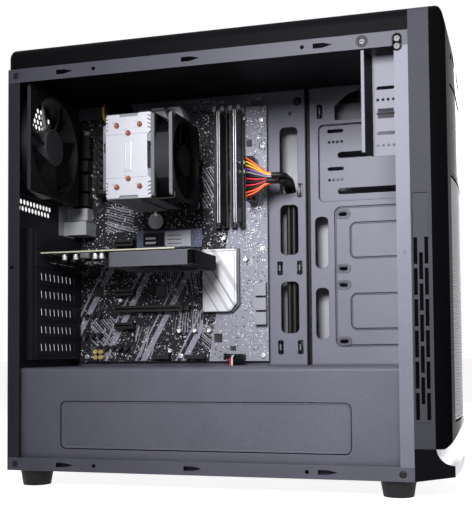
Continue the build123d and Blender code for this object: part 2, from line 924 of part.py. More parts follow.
# Slotted side grilles, one in each flank of the front shell
vent_rows = 6
vent_pitch = 30
vent_slot = 26
vent_slot_width = 3.6
vent_column_pitch = 5.2
vent_first = vent_low + 16
with BuildPart() as bezel_vents:
    for outer in (left + 1, right - 1 - 1.6):
        with BuildSketch(facing_right(outer)):
            patch(
                vent_y - vent_width / 2 + fit_gap / 3,
                vent_y + vent_width / 2 - fit_gap / 3,
                above(vent_low) + fit_gap / 3,
                above(vent_high) - fit_gap / 3,
            )
            for row in range(vent_rows):
                height = above(vent_first + row * vent_pitch)
                with Locations((vent_y - vent_column_pitch, height), (vent_y + vent_column_pitch, height)):
                    Rectangle(vent_slot_width, vent_slot, mode=Mode.SUBTRACT)
            for row in range(vent_rows - 1):
                with Locations((vent_y, above(vent_first + (row + 0.5) * vent_pitch))):
                    Rectangle(vent_slot_width, vent_slot, mode=Mode.SUBTRACT)
        extrude(amount=1.6)
save(bezel_vents, "bezel_vents")

# Silver face of the front, a thin perforated skin in the lower opening
with BuildPart() as front_mesh:
    add(bezel_block(mesh_sink, front))
    add(bezel_block(mesh_sink + 1.6, front + 1), mode=Mode.SUBTRACT)
    slab(
        -mesh_half + fit_gap,
        mesh_half - fit_gap,
        bezel_face - 1,
        bezel_face + 21,
        above(mesh_low) + fit_gap,
        above(mesh_high) - fit_gap,
        mode=Mode.INTERSECT,
    )
    with BuildSketch(facing_front(bezel_face + 22)):
        with Locations((0, above((mesh_low + mesh_high) / 2))):
            with GridLocations(12.4, 11, 12, 20):
                RegularPolygon(4.6, 6)
    extrude(amount=30, mode=Mode.SUBTRACT)
save(front_mesh, "front_mesh")

# Two blank covers of the drive bay
with BuildPart() as bay_covers:
    add(bezel_block(mesh_sink, front))
    add(bezel_block(plastic_wall + mesh_sink, front + 1), mode=Mode.SUBTRACT)
    slab(
        -bay_cover_half + bay_cover_gap,
        bay_cover_half - bay_cover_gap,
        bezel_face - 1,
        bezel_face + 21,
        bay_bottom + bay_cover_gap,
        bay_top - bay_cover_gap,
        mode=Mode.INTERSECT,
    )
    seam = bay_bottom + bay_height
    slab(
        left,
        right,
        bezel_face - 1,
        bezel_face + 22,
        seam - bay_cover_gap,
        seam + bay_cover_gap,
        mode=Mode.SUBTRACT,
    )
save(bay_covers, "bay_covers")

# Lower lip: black cheeks with a scooped front
chin_nose = front - bezel_depth + 4.2
chin_bulge = 3.5
chin_wall = 3
chin_lip = 16.2
chin_bottom = 5.7
scoop_end = front - 20.5
scoop_middle = (front - 25.5, above(21))
chin_top = above(bezel_low) - fit_gap
with BuildPart() as bezel_chin:
    with BuildSketch(facing_right(left)):
        with BuildLine():
            Polyline(
                (scoop_end, chin_top),
                (front, chin_top),
                (front, floor),
                (chin_nose, above(chin_bottom)),
                (chin_nose, above(chin_lip)),
            )
            ThreePointArc((chin_nose, above(chin_lip)), scoop_middle, (scoop_end, chin_top))
        make_face()
    extrude(amount=width)
    slab(
        left + chin_wall,
        right - chin_wall,
        chin_nose - 1,
        front - 6,
        above(chin_bottom),
        above(bezel_low),
        mode=Mode.SUBTRACT,
    )
save(bezel_chin, "bezel_chin")

# Silver insert between the cheeks, scooped like them, with a slightly bowed front
trim_half = width / 2 - chin_wall - fit_gap
trim_back = front - 6 - fit_gap
trim_low = above(chin_bottom) + fit_gap
trim_wall = 3
with BuildPart() as chin_trim:
    with BuildSketch(facing_up(trim_low)):
        with BuildLine():
            Polyline(
                (trim_half, chin_nose),
                (trim_half, trim_back),
                (-trim_half, trim_back),
                (-trim_half, chin_nose),
            )
            ThreePointArc((-trim_half, chin_nose), (0, chin_nose - chin_bulge), (trim_half, chin_nose))
        make_face()
    extrude(amount=chin_top - trim_low)
    with BuildSketch(facing_right(-trim_half)):
        with BuildLine():
            Polyline(
                (scoop_end, chin_top),
                (trim_back, chin_top),
                (trim_back, trim_low),
                (bezel_face - 1, trim_low),
                (bezel_face - 1, above(chin_lip)),
                (chin_nose, above(chin_lip)),
            )
            ThreePointArc((chin_nose, above(chin_lip)), scoop_middle, (scoop_end, chin_top))
        make_face()
    extrude(amount=2 * trim_half, mode=Mode.INTERSECT)
    slab(
        trim_wall - trim_half,
        trim_half - trim_wall,
        scoop_end + trim_wall,
        trim_back + 1,
        trim_low - 1,
        chin_top - trim_wall,
        mode=Mode.SUBTRACT,
    )
save(chin_trim, "chin_trim")

# Front buttons, slightly proud of the shell
button_proud = 0.8
button_deep = 10
proud_block = bezel_block(-button_proud, front)
with BuildPart() as power_button:
    with BuildSketch(facing_front(bezel_face + button_deep)):
        with Locations((button_x, control_z)):
            RectangleRounded(button_width, button_height, 2.7)
    extrude(amount=20)
    add(proud_block, mode=Mode.INTERSECT)
save(power_button, "power_button")

with BuildPart() as reset_button:
    with BuildSketch(facing_front(bezel_face + button_deep)):
        with Locations((reset_x, control_z)):
            Circle(reset_width / 2)
    extrude(amount=20)
    add(proud_block, mode=Mode.INTERSECT)
save(reset_button, "reset_button")

# Small board behind the front with its sockets and the two key switches
with BuildPart() as front_ports:
    slab(
        -82,
        lead_hole_x + 5,
        port_board_y,
        port_board_y + port_board_thick,
        control_z - 8,
        control_z + 8,
    )
    for place in port_places:
        slab(
            place - usb_width / 2,
            place + usb_width / 2,
            port_board_y - port_depth + 2,
            port_board_y,
            control_z - usb_height / 2,
            control_z + usb_height / 2,
        )
        slab(
            place - usb_width / 2 + 0.6,
            place + usb_width / 2 - 0.6,
            port_board_y - port_depth + 1,
            port_board_y - 3,
            control_z - usb_height / 2 + 0.6,
            control_z + usb_height / 2 - 0.6,
            mode=Mode.SUBTRACT,
        )
        slab(
            place - usb_width / 2 + 1.2,
            place + usb_width / 2 - 1.2,
            port_board_y - port_depth + 4,
            port_board_y - 3,
            control_z + 0.2,
            control_z + 1.8,
        )
    for place in jack_places:
        seat = toward_front(place, port_board_y, control_z)
        rod(seat, jack_hole / 2, 0, port_depth - 3)
        rod(seat, 1.8, 3, port_depth, mode=Mode.SUBTRACT)
    for place in (button_x, reset_x):
        seat = toward_front(place, port_board_y, control_z)
        rod(seat, 2.6, 0, 3.4)
save(front_ports, "front_ports")


def fan_frame(base, side, bore, hub, bolts):
    """Square fan frame; the base plane is on the strut side and looks along the axis to the intake."""
    with BuildPart() as frame:
        for level in (0, fan_depth - fan_flange):
            with BuildSketch(base.offset(level)):
                RectangleRounded(side, side, fan_corner)
                Circle(bore / 2, mode=Mode.SUBTRACT)
                with GridLocations(bolts, bolts, 2, 2):
                    Circle(fan_bolt_hole / 2, mode=Mode.SUBTRACT)
            extrude(amount=fan_flange)
        with BuildSketch(base.offset(fan_flange)):
            Circle(bore / 2 + fan_wall)
            Circle(bore / 2, mode=Mode.SUBTRACT)
        extrude(amount=fan_depth - 2 * fan_flange)
        with BuildSketch(base):
            Circle(hub / 2)
            with PolarLocations((hub + bore) / 4, 4, start_angle=45):
                Rectangle((bore - hub) / 2 + 1, fan_strut)
        extrude(amount=fan_plate)
        with BuildSketch(base.offset(fan_plate)):
            Circle(shaft + 1)
        extrude(amount=fan_depth - 4 * fan_plate)
        with BuildSketch(base.offset(fan_plate / 2)):
            Circle(shaft / 2 + shaft_clearance)
        extrude(amount=fan_depth, mode=Mode.SUBTRACT)
    return frame


def fan_rotor(base, depth, bore, hub, blades, chord):
    """Hub cup with its shaft and curved blades, turning about the base plane's axis."""
    tip = bore / 2 - fan_tip_gap
    low = fan_plate + 1
    high = depth - 1.5
    middle = (low + high) / 2
    root_thick = 2
    sections = ((hub / 2 - 1, 0.62, 38), ((hub / 2 + tip) / 2, 0.85, 31), (tip + 2, 1, 25))
    with BuildPart() as blade:
        for radius, share, pitch in sections:
            origin = base.from_local_coords((radius, 0, middle))
            with BuildSketch(Plane(origin=origin, x_dir=base.y_dir, z_dir=base.x_dir)):
                Rectangle(chord * share, root_thick, rotation=pitch)
        loft()
        with BuildSketch(base.offset(low)):
            Circle(tip)
        extrude(amount=high - low, mode=Mode.INTERSECT)
    with BuildPart() as rotor:
        with BuildSketch(base.offset(low)):
            Circle(hub / 2)
        extrude(amount=high - low)
        with BuildSketch(base.offset(low)):
            Circle(hub / 2 - 1.5)
        extrude(amount=high - low - 2, mode=Mode.SUBTRACT)
        with BuildSketch(base.offset(fan_plate / 2 + 0.3)):
            Circle(shaft / 2)
        extrude(amount=high - fan_plate / 2 - 1)
        axis = Axis(base.origin, base.z_dir)
        for turn in range(blades):
            add(blade.part.rotate(axis, 360 / blades * turn))
    return rotor


# Rear fan on the inside of the rear wall
rear_fan_base = toward_front(rear_fan_x, rear - sheet, rear_fan_z)
rear_fan_frame = fan_frame(rear_fan_base, case_fan, case_fan_bore, case_fan_hub, case_fan_bolts)
save(rear_fan_frame, "rear_fan_frame")
rear_fan_rotor = fan_rotor(rear_fan_base, fan_depth, case_fan_bore, case_fan_hub, 7, 40)
save(rear_fan_rotor, "rear_fan_rotor")

# Screws of the rear fan, driven in from behind
with BuildPart() as fan_screws:
    for u in (-case_fan_bolts / 2, case_fan_bolts / 2):
        for v in (-case_fan_bolts / 2, case_fan_bolts / 2):
            seat = toward_rear(rear_fan_x + u, rear, rear_fan_z + v)
            rod(seat, 4, 0, 2)
            rod(seat, fan_bolt_hole / 2 - 0.1, -fan_flange - sheet, 0)
save(fan_screws, "fan_screws")

# Brass spacers under the board
board_holes = [
    (ahead(board_rear + column), above(board_low + row))
    for column in board_columns
    for row in board_rows
]
with BuildPart() as standoffs:
    for y, z in board_holes:
        seat = toward_open(tray_x, y, z)
        with BuildSketch(seat):
            RegularPolygon(standoff_across / 2, 6, major_radius=False)
        extrude(amount=standoff_height)
        rod(seat, screw_shank / 2, -4, 0)
        rod(seat, screw_shank / 2 + 0.05, 2, standoff_height, mode=Mode.SUBTRACT)
save(standoffs, "standoffs")

# Bare main board
with BuildPart() as motherboard:
    with BuildSketch(facing_right(board_top)):
        patch(
            ahead(board_rear + board_depth),
            ahead(board_rear),
            above(board_low),
            above(board_low + board_height),
        )
        with Locations(*board_holes):
            Circle(board_hole / 2, mode=Mode.SUBTRACT)
    extrude(amount=pcb)
save(motherboard, "motherboard")

# Identical screws of the board, the slots, the power supply and the rails
with BuildPart() as case_screws:
    for y, z in board_holes:
        screw(toward_open(board_top, y, z))
    for height in slot_heights:
        screw(toward_open(tab_x - sheet, tab_screw_y, height))
    for u, v in psu_screws:
        screw(toward_rear(psu_x + u, rear, psu_floor + v))
    sunk = left + screw_head_height + 0.2
    for distance in rail_screws_low:
        screw(toward_open(sunk, ahead(distance), rail_low_middle))
    for distance in rail_screws_high:
        screw(toward_open(sunk, ahead(distance), rail_high_middle))
    for height in (corner_slot_low + 4.7, corner_slot_high - 4.7):
        screw(toward_open(sunk, ahead(corner_slot_ahead), above(height)))
    screw(toward_open(tray_x, ahead(tray_screw[0]), above(tray_screw[1])))
save(case_screws, "case_screws")


def chip(start, end, low, high, tall, lift=0):
    """Block standing on the main board, by its distance ahead and its height above the floor."""
    slab(off_board(lift + tall), off_board(lift), ahead(end), ahead(start), above(low), above(high))


# Rear sockets as low, height, rise off the board and reach ahead of the rear edge
port_reach = 1.2
port_list = (
    (271, 16.5, 28, 31),
    (290.5, 15, 16, 27),
    (309, 15, 16, 27),
    (328, 20, 12.5, 26),
    (352, 13, 16, 27),
    (369, 28, 13, 28),
)
with BuildPart() as io_ports:
    for low, tall, rise, reach in port_list:
        slab(off_board(rise), board_top, ahead(reach), ahead(-port_reach), above(low), above(low + tall))
        slab(
            off_board(rise - 1.5),
            off_board(2),
            ahead(8),
            ahead(-port_reach - 1),
            above(low + 1.5),
            above(low + tall - 1.5),
            mode=Mode.SUBTRACT,
        )
save(io_ports, "io_ports")

with BuildPart() as io_shield:
    with BuildSketch(facing_front(rear)):
        patch(
            aperture_left + fit_gap / 2,
            aperture_right - fit_gap / 2,
            aperture_bottom + fit_gap / 2,
            aperture_top - fit_gap / 2,
        )
        for low, tall, rise, reach in port_list:
            patch(
                off_board(rise + fit_gap),
                board_top + fit_gap,
                above(low) - fit_gap,
                above(low + tall) + fit_gap,
                mode=Mode.SUBTRACT,
            )
    extrude(amount=sheet)
save(io_shield, "io_shield")

# Processor in its socket
socket_half = 27
cpu_half = 18
with BuildPart() as cpu_socket:
    chip(
        cpu_ahead - socket_half,
        cpu_ahead + socket_half,
        cpu_height - socket_half,
        cpu_height + socket_half,
        4,
    )
    chip(cpu_ahead - cpu_half, cpu_ahead + cpu_half, cpu_height - cpu_half, cpu_height + cpu_half, cpu_stack)
save(cpu_socket, "cpu_socket")

# Heat sinks of the voltage regulators, along the top and the rear side of the socket
vrm_fins = 7
with BuildPart() as vrm_heatsinks:
    with BuildSketch(facing_up(above(407.2))):
        with BuildLine():
            Polyline(
                (board_top, ahead(99)),
                (off_board(22), ahead(99)),
                (off_board(30), ahead(112)),
                (off_board(30), ahead(150)),
                (off_board(18), ahead(166)),
                (board_top, ahead(166)),
                close=True,
            )
        make_face()
    extrude(amount=12.6)
    with BuildSketch(facing_front(ahead(42))):
        with BuildLine():
            Polyline(
                (board_top, above(318)),
                (off_board(18), above(318)),
                (off_board(26), above(330)),
                (off_board(26), above(384)),
                (off_board(18), above(396)),
                (board_top, above(396)),
                close=True,
            )
        make_face()
    extrude(amount=18)
    for step in range(vrm_fins):
        start = 107 + 8 * step
        slab(
            off_board(40),
            off_board(12),
            ahead(start + 2.4),
            ahead(start),
            above(410.5),
            above(430),
            mode=Mode.SUBTRACT,
        )
save(vrm_heatsinks, "vrm_heatsinks")

# Heat sink of the controller chip, with its lower front corner cut away
sink_start = 173
sink_end = 219
sink_low = 173
sink_high = 250
sink_cut = 16
with BuildPart() as chipset_heatsink:
    with BuildSketch(facing_right(off_board(9))):
        with BuildLine():
            Polyline(
                (ahead(sink_start), above(sink_low)),
                (ahead(sink_end - sink_cut), above(sink_low)),
                (ahead(sink_end), above(sink_low + 1.4 * sink_cut)),
                (ahead(sink_end), above(sink_high)),
                (ahead(sink_start), above(sink_high)),
                close=True,
            )
        make_face()
    extrude(amount=9)
    chamfer(chipset_heatsink.faces().sort_by(Axis.X)[0].edges(), 1.2)
    for step in range(3):
        start = sink_start + 9 + 4 * step
        slab(
            off_board(10),
            off_board(7.6),
            ahead(start + 1.4),
            ahead(start),
            above(sink_low - 1),
            above(sink_high + 1),
            mode=Mode.SUBTRACT,
        )
save(chipset_heatsink, "chipset_heatsink")

# Memory slots with their end cheeks and the shut latches of the two filled slots
slot_body = 137
slot_tall = 8.5
slot_width = 7
groove = memory_board + 0.3
groove_low = 3
cheek_start = memory_low + slot_body
cheek_length = 7
cheek_tall = 9
cheek = 1.1
pivot_height = cheek_start + 3.6
memory_ahead = [memory_first + memory_pitch * index for index in range(4)]
latch_width = slot_width - 2 * cheek - 2 * latch_gap


def latch(distance):
    """Upright lever between the cheeks, on two stub pins."""
    half = latch_width / 2
    slab(
        off_board(16),
        off_board(1.5),
        ahead(distance + half),
        ahead(distance - half),
        above(pivot_height - 1.5),
        above(pivot_height + 1.5),
    )
    slab(
        off_board(18),
        off_board(16),
        ahead(distance + half),
        ahead(distance - half),
        above(pivot_height - 1.5),
        above(pivot_height + 4),
    )
    pivot = Plane(origin=(off_board(latch_pivot), ahead(distance), above(pivot_height)), z_dir=(0, 1, 0))
    reach = slot_width / 2 - 0.2
    rod(pivot, latch_pin, -reach, reach)


with BuildPart() as memory_slots:
    for distance in memory_ahead:
        half = slot_width / 2
        chip(distance - half, distance + half, memory_low, cheek_start, slot_tall)
        slab(
            off_board(slot_tall + 1),
            off_board(groove_low),
            ahead(distance + groove / 2),
            ahead(distance - groove / 2),
            above(memory_low + 1.5),
            above(cheek_start - 1.5),
            mode=Mode.SUBTRACT,
        )
        for side in (-half, half - cheek):
            chip(
                distance + side,
                distance + side + cheek,
                cheek_start,
                cheek_start + cheek_length,
                cheek_tall,
            )
        pivot = Plane(origin=(off_board(latch_pivot), ahead(distance), above(pivot_height)), z_dir=(0, 1, 0))
        rod(pivot, latch_pin + shaft_clearance, -slot_width, slot_width, mode=Mode.SUBTRACT)
    for index in memory_used:
        latch(memory_ahead[index])
save(memory_slots, "memory_slots")

for index in range(4):
    if index not in memory_used:
        with BuildPart() as memory_latch:
            latch(memory_ahead[index])
        save(memory_latch, f"memory_latch_{index + 1}")

# Two memory modules: a thin board with a spreader on each side
module_low = memory_low + slot_body / 2 - memory_length / 2
with BuildPart() as memory_modules:
    for index in memory_used:
        distance = memory_ahead[index]
        half = memory_board / 2
        chip(
            distance - half,
            distance + half,
            module_low,
            module_low + memory_length,
            memory_tall,
            groove_low + 0.1,
        )
        for side in (-half - 1.2, half):
            chip(
                distance + side,
                distance + side + 1.2,
                module_low + 3,
                module_low + memory_length - 3,
                22,
                slot_tall + 1,
            )
save(memory_modules, "memory_modules")

# Card slots on the board: long ones on two lines, short ones on three
long_slots = (card_slot, 2)
short_slots = (6, 3, 1)
slot_start = 60
long_length = 89
short_length = 25
card_slot_tall = 11.2
card_board = 1.6
slot_thick = 7.5


def slot_line(index):
    """Height above the floor of a card's board in a slot."""
    return slot_low + index * slot_pitch + card_offset


with BuildPart() as expansion_slots:
    for indices, length in ((long_slots, long_length), (short_slots, short_length)):
        for index in indices:
            middle = slot_line(index)
            chip(
                slot_start,
                slot_start + length,
                middle - slot_thick / 2,
                middle + slot_thick / 2,
                card_slot_tall,
            )
            slab(
                off_board(card_slot_tall + 1),
                off_board(3),
                ahead(slot_start + length - 2),
                ahead(slot_start + 2),
                above(middle - card_board / 2 - 0.15),
                above(middle + card_board / 2 + 0.15),
                mode=Mode.SUBTRACT,
            )
    for index in long_slots:
        middle = slot_line(index)
        chip(slot_start + long_length, slot_start + long_length + 7, middle - 3, middle + 3, 6)
save(expansion_slots, "expansion_slots")

# Power headers and drive ports
header_start = 232
header_low = 303
header_length = 52
header_tall = 13
cpu_header_start = 50
cpu_header_low = 406
with BuildPart() as board_connectors:
    chip(header_start, header_start + 10, header_low, header_low + header_length, header_tall)
    chip(cpu_header_start, cpu_header_start + 18, cpu_header_low, cpu_header_low + 10, header_tall)
    for step in range(3):
        low = 158 + 17 * step
        chip(238, 252, low, low + 14.5, 8)
    chip(203, 225, 118, 123, 8.5)
    chip(150, 176, 118, 123, 8.5)
    chip(108, 130, 118, 123, 8.5)
save(board_connectors, "board_connectors")

# Stick-type solid-state drive in its socket
drive_start = 92
drive_low = 253.5
with BuildPart() as m2_drive:
    chip(drive_start, drive_start + 80, drive_low, drive_low + 22, 0.8, 2.4)
    chip(drive_start - 4, drive_start, drive_low, drive_low + 22, 4)
    chip(drive_start + 8, drive_start + 22, drive_low + 4, drive_low + 18, 1.2, 3.2)
    chip(drive_start + 28, drive_start + 46, drive_low + 3, drive_low + 19, 1.2, 3.2)
    chip(drive_start + 52, drive_start + 70, drive_low + 3, drive_low + 19, 1.2, 3.2)
    rod(toward_open(board_top, ahead(drive_start + 80), above(drive_low + 11)), 2.8, 0, 4.4)
save(m2_drive, "m2_drive")

# Chokes, capacitors, chips and the clock battery
with BuildPart() as board_components:
    for step in range(4):
        chip(99 + 16 * step, 110 + 16 * step, 389, 400, 7)
        chip(70, 81, 318 + 17 * step, 329 + 17 * step, 7)
    for step in range(5):
        rod(toward_open(board_top, ahead(90), above(310 + 15 * step)), 3.2, 0, 9)
        rod(toward_open(board_top, ahead(38 + 9 * step), above(132)), 3.2, 0, 7)
    for step in range(3):
        rod(toward_open(board_top, ahead(20 + 9 * step), above(148)), 3.2, 0, 9)
        rod(toward_open(board_top, ahead(20 + 9 * step), above(172)), 2.8, 0, 8)
    rod(toward_open(board_top, ahead(113), above(287)), 11.5, 0, 2)
    rod(toward_open(board_top, ahead(113), above(287)), 10, 2, 5)
    chip(112, 126, 194, 208, 1.5)
    chip(30, 42, 196, 208, 1.5)
    chip(28, 38, 222, 230, 1.5)
    chip(186, 196, 138, 148, 1.5)
    for step in range(3):
        chip(136 + 20 * step, 142 + 20 * step, 152, 158, 4)
save(board_components, "board_components")

# Tower cooler: base on the processor, bent heat pipes, fins, top plate
base_x = off_board(cpu_stack)
base_face = off_board(cpu_stack + cooler_base_height)
pipe_x = off_board(cpu_stack + pipe / 2 + 2)
cooler_top = off_board(cooler_height)
pipe_tip = cooler_top - pipe_rise
cpu_y = ahead(cpu_ahead)
cpu_z = above(cpu_height)


def bent_pipes(radius):
    """Heat pipes: each runs down one side, across the base and up the other."""
    for shift, reach in pipe_rows:
        y = cpu_y - shift
        points = (
            (pipe_tip, y, cpu_z + reach),
            (pipe_x, y, cpu_z + reach),
            (pipe_x, y, cpu_z - reach),
            (pipe_tip, y, cpu_z - reach),
        )
        add(cable(points, radius, pipe_bend))


with BuildPart() as heat_pipes:
    bent_pipes(pipe / 2)
save(heat_pipes, "heat_pipes")

with BuildPart() as pipe_room:
    bent_pipes(pipe / 2 + pipe_fit)

arm_reach = 36
with BuildPart() as cooler_base:
    slab(base_face, base_x, cpu_y - 21, cpu_y + 21, cpu_z - 20, cpu_z + 20)
    for side in (-16, 16):
        slab(
            base_face,
            base_face + 3,
            cpu_y - arm_reach,
            cpu_y + arm_reach,
            cpu_z + side - 3,
            cpu_z + side + 3,
        )
        for end in (-arm_reach + 3, arm_reach - 3):
            rod(toward_open(board_top, cpu_y + end, cpu_z + side), 3, 0, cpu_stack + cooler_base_height)
    add(pipe_room.part, mode=Mode.SUBTRACT)
save(cooler_base, "cooler_base")

fin_count = int((cooler_height - fin_start) / fin_pitch)
waist = 4.5
waist_half = 15


def fin_outline():
    """Fin with a narrower waist, drawn about the processor's axis."""
    patch(
        cpu_y - cooler_width / 2,
        cpu_y + cooler_width / 2,
        cpu_z - cooler_tall / 2,
        cpu_z + cooler_tall / 2,
    )
    for side in (-1, 1):
        with Locations((cpu_y + side * cooler_width / 2, cpu_z)):
            Rectangle(2 * waist, 2 * waist_half, mode=Mode.SUBTRACT)


def fin_holes():
    """Holes for the heat pipes."""
    spots = [(cpu_y - shift, cpu_z + side * reach) for shift, reach in pipe_rows for side in (-1, 1)]
    with Locations(*spots):
        Circle(pipe / 2 + pipe_fit, mode=Mode.SUBTRACT)


collar = 0.7
with BuildPart() as cooler_fins:
    for step in range(fin_count):
        with BuildSketch(facing_right(off_board(fin_start + step * fin_pitch))):
            fin_outline()
            fin_holes()
        extrude(amount=-fin)
    stack_low = off_board(fin_start)
    stack_high = off_board(fin_start + (fin_count - 1) * fin_pitch + fin)
    with BuildSketch(facing_right(stack_high)):
        for shift, reach in pipe_rows:
            for side in (-1, 1):
                with Locations((cpu_y - shift, cpu_z + side * reach)):
                    Circle(pipe / 2 + pipe_fit + collar)
        fin_holes()
    extrude(amount=stack_low - stack_high)
save(cooler_fins, "cooler_fins")

plate_thick = 1.4
with BuildPart() as cooler_top_plate:
    with BuildSketch(facing_right(stack_high)):
        fin_outline()
        fin_holes()
    extrude(amount=-plate_thick)
    with BuildSketch(facing_right(stack_high - plate_thick)):
        with Locations((cpu_y, cpu_z)):
            SlotOverall(30, 13)
    extrude(amount=-1)
save(cooler_top_plate, "cooler_top_plate")

# Cooler fan on the front side of the fins
cooler_fan_x = off_board(cooler_height - 2 - cooler_fan / 2)
cooler_fan_y = cpu_y - cooler_width / 2
cooler_fan_base = toward_front(cooler_fan_x, cooler_fan_y, cpu_z)
cooler_fan_frame = fan_frame(cooler_fan_base, cooler_fan, cooler_fan_bore, cooler_fan_hub, cooler_fan_bolts)
save(cooler_fan_frame, "cooler_fan_frame")
cooler_fan_rotor = fan_rotor(cooler_fan_base, fan_depth, cooler_fan_bore, cooler_fan_hub, 9, 27)
save(cooler_fan_rotor, "cooler_fan_rotor")

# Spring wires that clip the fan to the fins
wire = 1.6
with BuildPart() as fan_clips:
    for side in (-1, 1):
        near_x = cooler_fan_x - cooler_fan_bolts / 2
        far_x = cooler_fan_x + cooler_fan_bolts / 2
        hook_z = cpu_z + side * cooler_fan_bolts / 2
        wire_z = cpu_z + side * (cooler_tall / 2 + wire / 2 + fit_gap)
        wire_front = cooler_fan_y - fan_depth - wire / 2 - fit_gap / 2
        wire_back = cooler_fan_y + 14
        points = (
            (near_x, wire_front, hook_z),
            (near_x, wire_front, wire_z),
            (near_x, wire_back, wire_z),
            (far_x, wire_back, wire_z),
            (far_x, wire_front, wire_z),
            (far_x, wire_front, hook_z),
        )
        add(cable(points, wire / 2, 2))
save(fan_clips, "fan_clips")

# Graphics card: board, bracket, cooler and fan
card_z = above(slot_line(card_slot))
card_rear = recess_y - sheet - 2
card_front = card_rear - card_length
card_edge = off_board(card_near)
card_low_edge = off_board(card_slot_tall + 0.8)
finger_start = ahead(slot_start + 3)
finger_end = ahead(slot_start + long_length - 3)
card_ports = ((20, 37), (44, 61), (68, 85))
port_drop = 7.5
with BuildPart() as graphics_board:
    half = card_board / 2
    slab(card_edge, card_low_edge, card_front, card_rear, card_z - half, card_z + half)
    slab(card_low_edge, off_board(3.5), finger_end, finger_start, card_z - half, card_z + half)
    for low, high in card_ports:
        slab(
            off_board(high),
            off_board(low),
            card_rear - 12,
            recess_y + 1.2,
            card_z - half - port_drop,
            card_z - half,
        )
    for step in range(4):
        rod(toward_floor(off_board(95), card_rear - 22 - 12 * step, card_z - half), 4, 0, 9)
save(graphics_board, "graphics_board")

bracket_z = slot_heights[card_slot]
with BuildPart() as graphics_bracket:
    slot_bracket(bracket_z)
    for low, high in card_ports:
        slab(
            off_board(high + fit_gap),
            off_board(low - fit_gap),
            recess_y - 2 * sheet,
            recess_y + sheet,
            card_z - card_board / 2 - port_drop - fit_gap,
            card_z - card_board / 2 + fit_gap,
            mode=Mode.SUBTRACT,
        )
save(graphics_bracket, "graphics_bracket")

cooler_rear = ahead(card_cooler_start)
cooler_front = cooler_rear - card_cooler_length
card_cooler_far = card_edge + 2 + card_cooler_depth
card_cooler_top = card_z - card_board / 2 - 1.2
card_fan_x = (card_edge + 2 + card_cooler_far) / 2
card_fan_y = (cooler_rear + cooler_front) / 2
card_fan_base = toward_floor(card_fan_x, card_fan_y, card_cooler_top - 2)
with BuildPart() as graphics_cooler:
    slab(
        card_edge + 2,
        card_cooler_far,
        cooler_front,
        cooler_rear,
        card_cooler_top - card_cooler_thick,
        card_cooler_top,
    )
    fillet(graphics_cooler.edges().filter_by(Axis.Z), 6)
    rod(card_fan_base, card_fan_bore / 2, fan_plate, card_cooler_thick, mode=Mode.SUBTRACT)
    rod(card_fan_base, shaft + 1, fan_plate, card_fan_depth - 5)
    rod(card_fan_base, shaft / 2 + shaft_clearance, fan_plate / 2, card_fan_depth, mode=Mode.SUBTRACT)
    for x in (card_edge + 12, card_cooler_far - 12):
        for y in (cooler_rear - 10, cooler_rear - 70):
            rod(toward_floor(x, y, card_z - card_board / 2), 3, 0, 2)
save(graphics_cooler, "graphics_cooler")
graphics_fan_rotor = fan_rotor(card_fan_base, card_fan_depth, card_fan_bore, card_fan_hub, 11, 20)
save(graphics_fan_rotor, "graphics_fan_rotor")

# Power supply: box, fan, inlet with the switch housing, rocker
inlet_x = psu_x + 42
inlet_z = psu_floor + 60
inlet_width = 27
inlet_height = 20
switch_x = inlet_x
switch_z = psu_floor + 36
switch_width = 21
switch_height = 15
with BuildPart() as psu_case:
    slab(psu_left, psu_right, psu_front, psu_rear, psu_floor, psu_roof)
    slab(
        psu_left + psu_wall,
        psu_right - psu_wall,
        psu_front + psu_wall,
        psu_rear - psu_wall,
        psu_floor + psu_wall,
        psu_roof - psu_wall,
        mode=Mode.SUBTRACT,
    )
    with BuildSketch(facing_up(psu_floor)):
        with Locations((psu_x, psu_fan_y)):
            for ring in (16, 27, 38, 49):
                Circle(ring + 8)
                Circle(ring, mode=Mode.SUBTRACT)
            Rectangle(2 * psu_vent, 5, mode=Mode.SUBTRACT)
            Rectangle(5, 2 * psu_vent, mode=Mode.SUBTRACT)
    extrude(amount=psu_wall, mode=Mode.SUBTRACT)
    with BuildSketch(facing_front(psu_rear)):
        with Locations((psu_x - 22, psu_floor + psu_height / 2)):
            with HexLocations(4.6, 7, 6):
                Circle(3.4)
        with Locations((inlet_x, inlet_z)):
            Rectangle(inlet_width - 4, inlet_height - 4)
        with Locations((switch_x, switch_z)):
            Rectangle(switch_width - 4, switch_height - 3)
        with Locations(*[(psu_x + u, psu_floor + v) for u, v in psu_screws]):
            Circle(screw_hole / 2)
    extrude(amount=psu_wall, mode=Mode.SUBTRACT)
save(psu_case, "psu_case")

psu_fan_base = toward_floor(psu_x, psu_fan_y, psu_floor + psu_wall + fan_depth)
psu_fan_frame = fan_frame(psu_fan_base, case_fan, case_fan_bore, case_fan_hub, case_fan_bolts)
save(psu_fan_frame, "psu_fan_frame")
psu_fan_rotor = fan_rotor(psu_fan_base, fan_depth, case_fan_bore, case_fan_hub, 7, 40)
save(psu_fan_rotor, "psu_fan_rotor")

